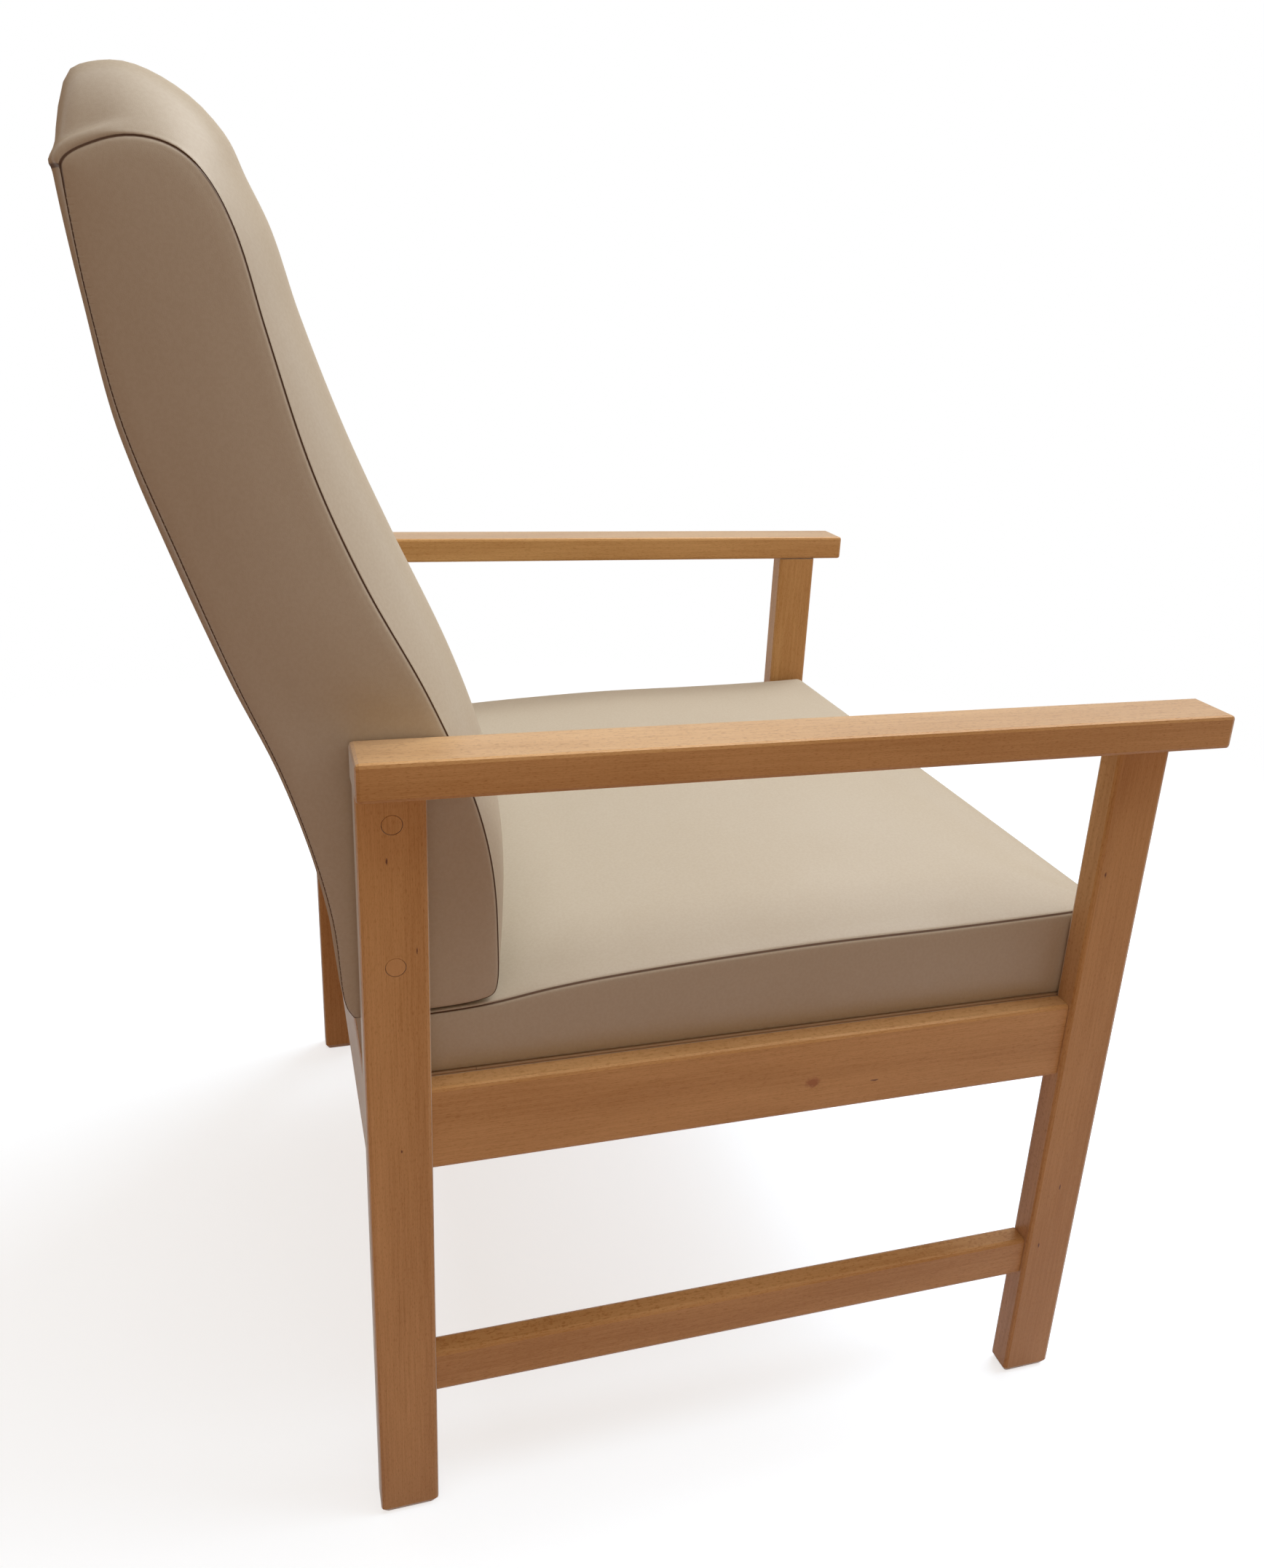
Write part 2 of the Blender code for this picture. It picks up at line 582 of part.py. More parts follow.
def seat_rings(bm, inset):
    """Rings of the seat from the middle of its top panel down to the foot of its boxing."""
    middle_y = (SEAT_FRONT + SEAT_REAR) / 2
    rings = [[bm.verts.new((0, middle_y, seat_top(0, middle_y, inset)))]]
    for ring in SEAT_RINGS:
        outline = seat_outline(ring + inset)
        rings.append([bm.verts.new((p.x, p.y, seat_top(p.x, p.y, inset))) for p in outline])
    seam = seat_outline(SEAM_DRAW + inset)
    rings.append([bm.verts.new((p.x, p.y, seat_seam(p.y) - inset)) for p in seam])
    side = seat_outline(inset)
    rings.append([bm.verts.new((p.x, p.y, seat_seam(p.y) - SEAT_BOXING_ROLL - inset)) for p in side])
    return rings


def make_seat(screw_holes):
    """Seat board, foam and cover."""
    bm = bmesh.new()
    add_prism(bm, seat_outline(LINING + SEAT_FOOT), 2, BOARD_BOTTOM, BOARD_TOP)
    board = add_object("seat_board", bm, PLYWOOD)
    bm = bmesh.new()
    hole = rod(VENT_RADIUS, BOARD_BOTTOM - BOARD_THICKNESS, BOARD_TOP + BOARD_THICKNESS)
    for x in (-VENT_SPACING / 2, VENT_SPACING / 2):
        for y in (-VENT_SPACING / 2, VENT_SPACING / 2):
            spin(bm, hole, Matrix.Translation((x, y, 0)))
    combine(board, add_object("vents", bm), "DIFFERENCE")
    combine(board, screw_holes, "DIFFERENCE")
    bm = bmesh.new()
    rings = seat_rings(bm, LINING)
    foot = [bm.verts.new((v.co.x, v.co.y, BOARD_TOP + JOINT_GAP)) for v in rings[-1]]
    bridge(bm, rings + [foot])
    bm.faces.new(foot)
    add_object("seat_foam", bm, FOAM)
    bm = bmesh.new()
    rings = seat_rings(bm, 0)
    for inset, height in ((0, SEAT_FOOT), (SEAT_FOOT, 0), (SEAT_LIP, 0)):
        rings.append([bm.verts.new((p.x, p.y, SEAT_BOTTOM + height)) for p in seat_outline(inset)])
    bridge(bm, rings)
    thicken(add_object("seat_cover", bm, VINYL))


def thicken(cover):
    """Gives a cover its thickness, inwards from its outer face."""
    modifier = cover.modifiers.new("thickness", "SOLIDIFY")
    modifier.thickness = COVER_THICKNESS
    modifier.offset = -1
    modifier.use_even_offset = True


def curve_through(points, steps):
    """Points of a smooth curve through given points, with tangents from their neighbours."""
    points = [Vector(p) for p in points]
    last = len(points) - 1
    lengths = [(b - a).length for a, b in zip(points, points[1:])]
    slopes = []
    for k in range(last + 1):
        before, after = max(k - 1, 0), min(k + 1, last)
        span = sum(lengths[before:after])
        slopes.append((points[after] - points[before]) / span)
    curve = []
    for k in range(last):
        for n in range(steps):
            t = n / steps
            blend = smooth(t)
            start, end = slopes[k] * lengths[k], slopes[k + 1] * lengths[k]
            curve.append(points[k] * (1 - blend) + points[k + 1] * blend
                         + start * (t * (1 - t) ** 2) - end * (t * t * (1 - t)))
    return curve + [points[last]]


def outward_of(points):
    """Outward directions of a run of (y, z) points that goes over the head and down the front."""
    ways = []
    for k in range(len(points)):
        step = points[min(k + 1, len(points) - 1)] - points[max(k - 1, 0)]
        ways.append(Vector((step[1], -step[0])).normalized())
    return ways


def placed(outline):
    """Moves (behind the legs, above the underside) points to the chair's own place."""
    return [(REAR + p[0], BACK_UNDERSIDE + p[1], *p[2:]) for p in outline]


def back_strip():
    """The front panel's seam as (y, z) points, how far the panel stands proud there and which way."""
    curve = curve_through(placed(BACK_STRIP), STRIP_STEPS)
    seam = [Vector(p[:2]) for p in curve]
    ways = outward_of(seam)
    proud = [max(p[2], 0) for p in curve]
    swell = [Vector((min(way[0], way[0] * HEAD_LEAN), max(way[1], 0))) for way in ways]
    return seam, ways, proud, swell


def back_rear():
    """The rear panel's seam as (y, z) points from the head down, its outward ways and how proud it stands."""
    points = placed(BACK_REAR)
    seam = [Vector(p[:2]) for p in points]
    return seam, [-way for way in outward_of(seam)], [p[2] for p in points]


def fullness(depth, roll):
    """Share of its proudness that a panel has at a depth in from the gusset."""
    return math.sin(math.pi / 2 * min(depth / roll, 1)) ** ROLL_POWER


def back_loop(depth):
    """The back's outline at a depth in from its gusset: the front panel, then up the rear panel."""
    seam, _, proud, swell = back_strip()
    across = depth / UNIT_HALF
    crown = 1 + BACK_CROWN * across * (2 - across)
    front = [p + lift * high * fullness(depth, BACK_ROLL_WIDTH) * crown
             for p, high, lift in zip(seam, proud, swell)]
    rise = [way * high * fullness(depth, REAR_ROLL_WIDTH) for _, way, high in zip(*back_rear())]
    rear = [p + lift for p, lift in zip(back_rear()[0], rise)]
    front[0] += rise[0]
    return front + rear[-2:0:-1]


def inset_loop(loop, distance):
    """A closed (y, z) outline drawn in by a distance, with mitred corners."""
    drawn = []
    for before, point, after in zip(loop[-1:] + loop[:-1], loop, loop[1:] + loop[:1]):
        first = Vector(((point - before)[1], (before - point)[0])).normalized()
        second = Vector(((after - point)[1], (point - after)[0])).normalized()
        drawn.append(point - (first + second) * distance / (1 + first.dot(second)))
    return drawn


def back_depths():
    """Stations across the back, from one gusset to the other, as (side, depth)."""
    stations = [(1, d) for d in BACK_STATIONS]
    return stations + [(1, UNIT_HALF - SEAM_DRAW)] + [(-1, d) for d in reversed(BACK_STATIONS)]


def make_back_cover(bolt_way):
    """The back's cover: gussets, front panel and rear panel, open underneath where it is stapled."""
    bm = bmesh.new()
    seam_plane = UNIT_HALF - SEAM_DRAW
    loops = []
    for side, depth in back_depths():
        loops.append([bm.verts.new((side * (seam_plane - depth), *p)) for p in back_loop(depth)])
    gusset = inset_loop(back_loop(0), GUSSET_MARGIN)
    ends = [[bm.verts.new((side * UNIT_HALF, *p)) for p in gusset] for side in SIDES.values()]
    for end in ends:
        bm.faces.new(end)
    bridge(bm, [ends[0], *loops, ends[1]])
    open_below = [f for f in bm.faces
                  if abs(f.calc_center_median().x) < UNIT_HALF - OPENING_MARGIN
                  and all(v.co.z < BACK_UNDERSIDE + COVER_THICKNESS for v in f.verts)]
    bmesh.ops.delete(bm, geom=open_below, context="FACES")
    cover = add_object("back_cover", bm, VINYL)
    thicken(cover)
    combine(cover, bolt_way, "DIFFERENCE")
    return cover


def between(line, low, high):
    """The stretch of a falling (y, z) line between two heights, with its ends at those heights."""
    def at(height):
        for a, b in zip(line, line[1:]):
            if a[1] >= height >= b[1]:
                return a.lerp(b, (a[1] - height) / (a[1] - b[1]))
        return Vector((line[0][0] if height > line[0][1] else line[-1][0], height))
    inside = [p for p in line if low < p[1] < high]
    return [at(high)] + inside + [at(low)]


def front_line(depth):
    """The inner frame's front at a depth behind the front seam, straight down near the underside."""
    seam, ways, _, _ = back_strip()
    line = [p - way * depth for p, way in zip(seam, ways)
            if FRAME_TURN <= p[1] - BACK_UNDERSIDE <= FRAME_CREST]
    foot = Vector((line[-1][0], BACK_UNDERSIDE))
    return between(line + [foot], BACK_UNDERSIDE + FRAME_FOOT, BACK_UNDERSIDE + FRAME_TOP)


def rear_line(depth):
    """The inner frame's rear at a depth in front of the rear seam."""
    seam, ways, _ = back_rear()
    line = [p - way * depth for p, way in zip(seam, ways)]
    return between(line, BACK_UNDERSIDE + FRAME_FOOT, BACK_UNDERSIDE + FRAME_TOP)


def band(depth, thickness, low, high):
    """Outline of a piece that follows the frame's front line between two heights."""
    low, high = BACK_UNDERSIDE + low, BACK_UNDERSIDE + high
    return between(front_line(depth), low, high) + between(front_line(depth + thickness), low, high)[::-1]


def cross_rail_tenon(low, high, gap):
    """Outline of a cross rail's tenon, grown by a gap."""
    side = CROSS_RAIL_SHOULDER - gap
    return band(PANEL_FRONT + side, CROSS_RAIL_THICKNESS - 2 * side, low + side, high - side)


def make_back_frame(nut_way):
    """Shaped side panels, the cross rails tenoned into them and the webbing across their front."""
    bm = bmesh.new()
    for low, high in CROSS_RAILS.values():
        reach = PANEL_INNER + CROSS_RAIL_TENON + JOINT_GAP
        add_prism(bm, cross_rail_tenon(low, high, JOINT_GAP), 0, -reach, reach)
    mortises = add_object("panel_mortises", bm)
    outline = front_line(PANEL_FRONT) + rear_line(LINING)[::-1]
    for label, side in SIDES.items():
        bm = bmesh.new()
        add_prism(bm, outline, 0, side * PANEL_INNER, side * PANEL_OUTER)
        panel = add_object(f"back_side_panel_{label}", bm, PLYWOOD)
        combine(panel, mortises, "DIFFERENCE")
        combine(panel, nut_way, "DIFFERENCE")
    for name, (low, high) in CROSS_RAILS.items():
        bm = bmesh.new()
        half = PANEL_INNER - JOINT_GAP
        add_prism(bm, band(PANEL_FRONT, CROSS_RAIL_THICKNESS, low, high), 0, -half, half)
        rail = add_object(name, bm, PLYWOOD)
        bm = bmesh.new()
        reach = PANEL_INNER + CROSS_RAIL_TENON
        add_prism(bm, cross_rail_tenon(low, high, 0), 0, -reach, reach)
        combine(rail, add_object(f"{name}_tenon", bm), "UNION")
    for number, middle in enumerate(WEB_HEIGHTS, 1):
        bm = bmesh.new()
        outline = band(FOAM_EDGE + JOINT_GAP, WEB_THICKNESS, middle - WEB_HEIGHT / 2, middle + WEB_HEIGHT / 2)
        add_prism(bm, outline, 0, -PANEL_OUTER, PANEL_OUTER)
        add_object(f"back_webbing_{number}", bm, WEBBING)


def make_back_foam():
    """The back's foam: in front of the inner frame and over its top, where it makes the head roll."""
    bm = bmesh.new()
    lid = BACK_UNDERSIDE + FRAME_TOP + JOINT_GAP
    inner = front_line(FOAM_EDGE)[::-1]
    inner[-1] = Vector((inner[-1][0], lid))
    inner.append(Vector((rear_line(LINING)[0][0], lid)))
    toe = inner[0][0]
    seam = inset_loop(back_loop(0), LINING)
    kept = max(k for k in range(len(back_strip()[0])) if seam[k][0] < toe) + 1
    loops = []
    for side, depth in back_depths():
        loop = inset_loop(back_loop(depth), LINING)
        last, beyond = loop[kept - 1], loop[kept]
        inner[0] = last.lerp(beyond, (toe - last[0]) / (beyond[0] - last[0]))
        loops.append([bm.verts.new((side * (PANEL_OUTER - depth), *p)) for p in loop[:kept] + inner])
    bridge(bm, loops)
    bm.faces.new(loops[0])
    bm.faces.new(loops[-1])
    add_object("back_foam", bm, FOAM)


def make_chair():
    """Builds every piece and stands the chair on its origin."""
    wide, narrow = PLUG_RADIUS + JOINT_GAP, BOLT_RADIUS + JOINT_GAP
    bolt_way = drill("bolt_way", rod(wide, -JOINT_GAP, BOLT_SEAT)[:-1] + rod(narrow, BOLT_SEAT, BOLT_END)[1:])
    nut_way = drill("nut_way", rod(NUT_RADIUS + JOINT_GAP, LEG_WIDTH, BOLT_END))
    screw_holes = screw_way()
    make_legs(bolt_way)
    make_arms()
    make_rails()
    make_supports(screw_holes)
    make_seat(screw_holes)
    make_back_frame(nut_way)
    make_back_foam()
    cover = make_back_cover(bolt_way)
    make_bolts()
    rearmost = max(v.co.y for v in cover.data.vertices)
    CHAIR.location.y = -(rearmost + FRONT - ARM_FRONT_OVERHANG) / 2


make_chair()
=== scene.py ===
"""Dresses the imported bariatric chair: a lacquered beech frame with a padded vinyl seat and back."""

import logging
import math
from dataclasses import dataclass, replace
from enum import Enum

import bpy
import numpy as np
from mathutils import Matrix, Vector


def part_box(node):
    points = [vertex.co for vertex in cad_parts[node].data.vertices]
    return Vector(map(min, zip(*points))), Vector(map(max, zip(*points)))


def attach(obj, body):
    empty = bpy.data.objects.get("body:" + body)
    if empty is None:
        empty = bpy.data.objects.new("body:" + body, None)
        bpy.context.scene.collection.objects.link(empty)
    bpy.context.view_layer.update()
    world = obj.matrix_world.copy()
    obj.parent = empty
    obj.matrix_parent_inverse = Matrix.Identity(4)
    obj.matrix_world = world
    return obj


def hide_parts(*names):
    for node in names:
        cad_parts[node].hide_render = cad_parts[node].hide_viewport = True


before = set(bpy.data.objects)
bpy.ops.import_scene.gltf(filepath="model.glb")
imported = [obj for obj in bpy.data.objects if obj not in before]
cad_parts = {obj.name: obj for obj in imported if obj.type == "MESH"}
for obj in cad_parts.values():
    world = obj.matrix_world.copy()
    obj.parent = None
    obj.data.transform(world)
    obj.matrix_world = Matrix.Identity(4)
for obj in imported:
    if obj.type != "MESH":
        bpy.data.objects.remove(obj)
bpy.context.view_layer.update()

PHOTO_SIZE = (1736, 2153)
LOG = logging.getLogger("chair")

SEAM_LABELS = ("seam", "run", "stitched")
STITCH_PITCH = 0.0042
PLY_LAYER = 0.0046
HEART_DEPTH = 0.16
RING_WANDER = 0.020
RING_PHASE = 1500.0

Point = tuple[float, float, float]
Colour = tuple[float, float, float]
Material = bpy.types.Material
Piece = bpy.types.Object
Socket = bpy.types.NodeSocket
Tree = bpy.types.NodeTree


class Board(Enum):
    """How a timber lies: the axes of its rays, its growth rings and its grain."""

    UPRIGHT = ("X", "Y", "Z")
    LENGTHWISE = ("X", "Z", "Y")
    CROSSWISE = ("Y", "Z", "X")

    def turn(self) -> Point:
        """Finds how the chair's axes turn to the timber's own, with the grain along Z.

        Returns:
            The three angles.
        """
        axes = {"X": Vector((1, 0, 0)), "Y": Vector((0, 1, 0)), "Z": Vector((0, 0, 1))}
        ray, ring, grain = (axes[name] for name in self.value)
        if ray.cross(ring).dot(grain) < 0:
            ring = -ring
        return tuple(Matrix((ray, ring, grain)).to_euler())


class Graph:
    """A node tree that is filled one node at a time."""

    def __init__(self, tree: Tree) -> None:
        """Keeps the tree that the nodes go into."""
        self.tree = tree

    def wire(self, node: bpy.types.Node, inputs: dict) -> None:
        """Fills a node's sockets.

        Args:
            node: The node.
            inputs: A value, or the socket that feeds it, for each socket by name or number.
        """
        for key, value in inputs.items():
            socket = node.inputs[key]
            if isinstance(value, Socket):
                self.tree.links.new(value, socket)
            else:
                socket.default_value = (*value, 1.0) if socket.type == "RGBA" else value

    def add(self, kind: str, inputs: dict | None = None, **settings: object) -> bpy.types.Node:
        """Adds a node and fills its sockets.

        Args:
            kind: Blender's name for the node, without its common first part.
            inputs: What goes into its sockets, as for wire.
            settings: Properties of the node.

        Returns:
            The new node.
        """
        node = self.tree.nodes.new(kind if kind.startswith("Node") else "ShaderNode" + kind)
        for name, value in settings.items():
            setattr(node, name, value)
        self.wire(node, inputs or {})
        return node

    def place(self) -> Socket:
        """The piece's own coordinates."""
        return self.add("TexCoord").outputs["Object"]

    def math(self, operation: str, *values: object) -> Socket:
        """Result of a Math node on values or sockets."""
        return self.add("Math", dict(enumerate(values)), operation=operation).outputs[0]

    def vector(self, operation: str, *values: object) -> Socket:
        """Result of a Vector Math node on values or sockets."""
        outputs = self.add("VectorMath", dict(enumerate(values)), operation=operation).outputs
        return outputs["Value" if operation == "LENGTH" else "Vector"]

    def noise(self, vector: Socket, factors: Point, detail: float = 2.0) -> Socket:
        """Smooth noise with so many features to the metre along each axis."""
        place = self.vector("MULTIPLY", vector, factors)
        return self.add("TexNoise", {"Vector": place, "Scale": 1.0, "Detail": detail}).outputs["Fac"]

    def ramp(self, value: Socket, low: float, high: float, start: float = 0.0, end: float = 1.0) -> Socket:
        """A value carried smoothly from one range to another, and held at its ends."""
        fields = {"Value": value, "From Min": low, "From Max": high, "To Min": start, "To Max": end}
        return self.add("MapRange", fields, interpolation_type="SMOOTHSTEP").outputs[0]

    def mix(self, factor: object, first: object, second: object) -> Socket:
        """Two colours mixed by a factor, on the Mix node's sockets for colours."""
        return self.add("Mix", {0: factor, 6: first, 7: second}, data_type="RGBA").outputs[2]

    def bump(self, height: Socket, strength: float, distance: float, **inputs: Socket) -> Socket:
        """A normal from a height."""
        fields = {"Height": height, "Strength": strength, "Distance": distance, **inputs}
        return self.add("Bump", fields).outputs[0]

    def group(self, tree: Tree, inputs: dict) -> bpy.types.bpy_prop_collection:
        """Outputs of a node group placed with its own values."""
        return self.add("Group", inputs, node_tree=tree).outputs


class GroupSheet(Graph):
    """A shader node group with named inputs and outputs."""

    def __init__(self, name: str, inputs: dict[str, str], outputs: dict[str, str]) -> None:
        """Makes the group.

        Args:
            name: The group's name.
            inputs: Kind of each input socket, by name.
            outputs: Kind of each output socket, by name.
        """
        super().__init__(bpy.data.node_groups.new(name, "ShaderNodeTree"))
        for direction, sockets in (("INPUT", inputs), ("OUTPUT", outputs)):
            for label, kind in sockets.items():
                self.tree.interface.new_socket(label, in_out=direction, socket_type="NodeSocket" + kind)
        self.given = self.add("NodeGroupInput").outputs
        self.result = self.add("NodeGroupOutput")

    def put(self, **outputs: Socket) -> Tree:
        """Feeds the group's outputs, and gives the finished group."""
        self.wire(self.result, outputs)
        return self.tree


def beech_group() -> Tree:
    """Figure of beech: soft bands, growth rings, fibres and the short dark flecks of its rays.

    Returns:
        The node group.
    """
    sheet = GroupSheet("beech_figure",
                       {"Vector": "Vector", "Pale": "Color", "Deep": "Color", "Tone": "Float", "Streaks": "Float",
                        "Flecks": "Float"},
                       {"Color": "Color", "Roughness": "Float", "Height": "Float"})
    given, place = sheet.given, sheet.given["Vector"]
    bands = sheet.noise(place, (26.0, 26.0, 3.2), 3.0)
    wander = sheet.noise(place, (9.0, 9.0, 2.2))
    axes = sheet.add("SeparateXYZ", {0: place}).outputs
    shifted = sheet.math("MULTIPLY_ADD", wander, RING_WANDER, axes[1])
    depth = sheet.math("ADD", axes[0], HEART_DEPTH)
    squares = sheet.math("ADD", sheet.math("POWER", depth, 2.0), sheet.math("POWER", shifted, 2.0))
    ring = sheet.math("SINE", sheet.math("MULTIPLY", sheet.math("SQRT", squares), RING_PHASE))
    fibre = sheet.noise(place, (700.0, 1300.0, 22.0), 3.0)
    streak = sheet.noise(place, (260.0, 850.0, 14.0), 3.0)
    fleck = sheet.ramp(sheet.noise(place, (500.0, 1900.0, 240.0), 1.0), 0.55, 0.70)
    ray = sheet.ramp(sheet.noise(place, (300.0, 2400.0, 420.0), 1.0), 0.58, 0.72)
    tone = sheet.math("ADD", sheet.ramp(bands, 0.30, 0.70, -0.20, 0.20), given["Tone"])
    tone = sheet.math("MULTIPLY_ADD", ring, 0.035, tone)
    tone = sheet.math("MULTIPLY_ADD", sheet.ramp(fibre, 0.30, 0.70, -0.5, 0.5), 0.22, tone)
    tone = sheet.math("ADD", tone, sheet.math("MULTIPLY", sheet.ramp(streak, 0.52, 0.68), given["Streaks"]))
    short = sheet.math("MAXIMUM", fleck, sheet.math("MULTIPLY", ray, 0.6))
    marks = sheet.math("MULTIPLY", short, given["Flecks"])
    held = sheet.add("Clamp", {0: sheet.math("ADD", tone, marks)}).outputs[0]
    return sheet.put(Color=sheet.mix(held, given["Pale"], given["Deep"]),
                     Roughness=sheet.ramp(fibre, 0.25, 0.75, 0.30, 0.42),
                     Height=sheet.math("MULTIPLY_ADD", marks, -0.6, fibre))


def mark_group() -> Tree:
    """A small dark mark in timber, such as a pin knot or a long fleck, at one place.

    Returns:
        The node group.
    """
    sheet = GroupSheet("timber_mark", {"Vector": "Vector", "Place": "Vector", "Reach": "Vector"}, {"Mask": "Float"})
    given = sheet.given
    away = sheet.vector("SUBTRACT", given["Vector"], given["Place"])
    rough = sheet.noise(given["Vector"], (420.0, 420.0, 420.0))
    far = sheet.vector("LENGTH", sheet.vector("DIVIDE", away, given["Reach"]))
    ragged = sheet.math("MULTIPLY_ADD", sheet.math("SUBTRACT", rough, 0.5), 0.9, far)
    return sheet.put(Mask=sheet.ramp(ragged, 0.35, 1.0, 1.0, 0.0))


def hide_group() -> Tree:
    """Face of upholstery vinyl: a fine embossed grain, with slow changes of tone and gloss.

    Returns:
        The node group.
    """
    sheet = GroupSheet("vinyl_face", {"Vector": "Vector", "Base": "Color", "Shade": "Color"},
                       {"Color": "Color", "Roughness": "Float", "Height": "Float"})
    given, place = sheet.given, sheet.given["Vector"]
    slow = sheet.noise(place, (7.0, 7.0, 7.0))
    fine = sheet.noise(place, (420.0, 420.0, 420.0), 3.0)
    cells = sheet.add("TexVoronoi", {"Vector": place, "Scale": 950.0}, feature="DISTANCE_TO_EDGE").outputs["Distance"]
    grain = sheet.ramp(cells, 0.0, 0.22)
    tone = sheet.math("ADD", sheet.ramp(slow, 0.30, 0.70, 0.0, 0.20), sheet.ramp(fine, 0.35, 0.65, 0.0, 0.60))
    tone = sheet.math("MULTIPLY_ADD", sheet.math("SUBTRACT", 1.0, grain), 0.25, tone)
    return sheet.put(Color=sheet.mix(tone, given["Base"], given["Shade"]),
                     Roughness=sheet.ramp(slow, 0.30, 0.70, 0.40, 0.50),
                     Height=sheet.math("MULTIPLY_ADD", fine, 0.4, grain))


def seam_shade_group() -> Tree:
    """A sewn seam: painted shade along the line where two panels meet, wider at each stitch, and the pinch of each
    stitch.

    Returns:
        The node group.
    """
    sheet = GroupSheet("seam_shade_and_pinch", {"Distance": "Float", "Run": "Float", "Line": "Float", "Stitched": "Float"},
                       {"Mask": "Float", "Height": "Float"})
    given = sheet.given
    beat = sheet.math("FRACT", sheet.math("MULTIPLY", given["Run"], 1 / STITCH_PITCH))
    swing = sheet.math("ABSOLUTE", sheet.math("SUBTRACT", beat, 0.5))
    stitch = sheet.ramp(swing, 0.30, 0.45, 1.0, 0.0)
    dashes = sheet.math("MULTIPLY", sheet.math("SUBTRACT", 1.0, stitch), given["Stitched"])
    fine = sheet.math("MULTIPLY_ADD", given["Stitched"], -0.3, 1.0)
    width = sheet.math("MULTIPLY", given["Line"], sheet.math("MULTIPLY_ADD", dashes, -0.3, fine))
    share = sheet.math("DIVIDE", given["Distance"], width)
    near = sheet.ramp(given["Distance"], 0.0010, 0.0045, 1.0, 0.0)
    pinched = sheet.math("MULTIPLY_ADD", sheet.math("SUBTRACT", stitch, 1.0), given["Stitched"], 1.0)
    # Mask: where the vinyl is darkened as painted shade of the seam's valley, wider at each stitch; Height: the
    # stitches' pinch.
    return sheet.put(Mask=sheet.ramp(share, 0.45, 1.15, 1.0, 0.0), Height=sheet.math("MULTIPLY", near, pinched))


def ply_group() -> Tree:
    """Plywood: a pale sawn face, and thin layers that show on its edges.

    Returns:
        The node group.
    """
    sheet = GroupSheet("plywood_layers", {"Vector": "Vector"}, {"Mask": "Float", "Tone": "Float"})
    place = sheet.given["Vector"]
    height = sheet.add("SeparateXYZ", {0: place}).outputs[2]
    layer = sheet.math("FRACT", sheet.math("MULTIPLY", height, 1 / PLY_LAYER))
    middle = sheet.math("ABSOLUTE", sheet.math("SUBTRACT", layer, 0.5))
    return sheet.put(Mask=sheet.ramp(middle, 0.18, 0.30), Tone=sheet.noise(place, (160.0, 9.0, 160.0), 4.0))


def new_material(name: str) -> tuple[Material, Graph, bpy.types.Node]:
    """Makes a material with a Principled shader.

    Args:
        name: The material's name.

    Returns:
        The material, its node tree, and its shader.
    """
    material = bpy.data.materials.new(name)
    material.use_nodes = True
    tree = material.node_tree
    shader = next(node for node in tree.nodes if node.type == "BSDF_PRINCIPLED")
    return material, Graph(tree), shader


@dataclass(frozen=True)
class Mark:
    """A dark mark in a timber, at a place on the chair, with its reach along each axis."""

    place: Point
    reach: Point
    colour: Colour = (0.17, 0.060, 0.020)


@dataclass(frozen=True)
class Timber:
    """A timber's own look: how it lies, how deep its colour is, its streaks and flecks, and marks that stand out."""

    board: Board
    tone: float
    streaks: float
    flecks: float
    marks: tuple[Mark, ...] = ()


@dataclass(frozen=True)
class BeechFinish:
    """Satin lacquered beech."""

    figure: Tree
    mark: Tree
    pale: Colour = (0.755, 0.484, 0.210)
    deep: Colour = (0.488, 0.252, 0.074)
    gloss: float = 0.2
    sheen: Colour = (0.80, 0.95, 1.0)
    sheen_weight: float = 1.0
    sheen_roughness: float = 0.40
    stride: Point = (0.37, 0.53, 0.91)

    def material(self, name: str, timber: Timber, seed: int) -> Material:
        """Makes the material of one timber.

        Args:
            name: The material's name.
            timber: The timber's own look.
            seed: Picks its stretch of figure.

        Returns:
            The material.
        """
        material, graph, shader = new_material(name)
        place = graph.place()
        offset = tuple(step * seed for step in self.stride)
        turned = graph.add("Mapping", {"Vector": place, "Location": offset, "Rotation": timber.board.turn()})
        wood = graph.group(self.figure, {"Vector": turned.outputs[0], "Pale": self.pale, "Deep": self.deep,
                                         "Tone": timber.tone, "Streaks": timber.streaks, "Flecks": timber.flecks})
        colour = wood["Color"]
        for spot in timber.marks:
            mask = graph.group(self.mark, {"Vector": place, "Place": spot.place, "Reach": spot.reach})["Mask"]
            colour = graph.mix(mask, colour, spot.colour)
        graph.wire(shader, {"Base Color": colour, "Roughness": wood["Roughness"],
                            "Normal": graph.bump(wood["Height"], 0.06, 0.0004), "Specular IOR Level": self.gloss,
                            "Sheen Weight": self.sheen_weight, "Sheen Roughness": self.sheen_roughness,
                            "Sheen Tint": self.sheen})
        return material


@dataclass(frozen=True)
class PlyFinish:
    """Raw plywood of the hidden supports."""

    figure: Tree
    face: Colour = (0.66, 0.49, 0.31)
    layer: Colour = (0.44, 0.29, 0.16)

    def material(self, name: str) -> Material:
        """Makes the material of the plywood pieces.

        Args:
            name: The material's name.

        Returns:
            The material.
        """
        material, graph, shader = new_material(name)
        ply = graph.group(self.figure, {"Vector": graph.place()})
        plain = graph.mix(graph.ramp(ply["Tone"], 0.30, 0.70, 0.0, 0.35), self.face, self.layer)
        colour = graph.mix(graph.math("MULTIPLY", ply["Mask"], 0.45), plain, self.layer)
        graph.wire(shader, {"Base Color": colour, "Roughness": graph.ramp(ply["Tone"], 0.2, 0.8, 0.55, 0.75)})
        return material


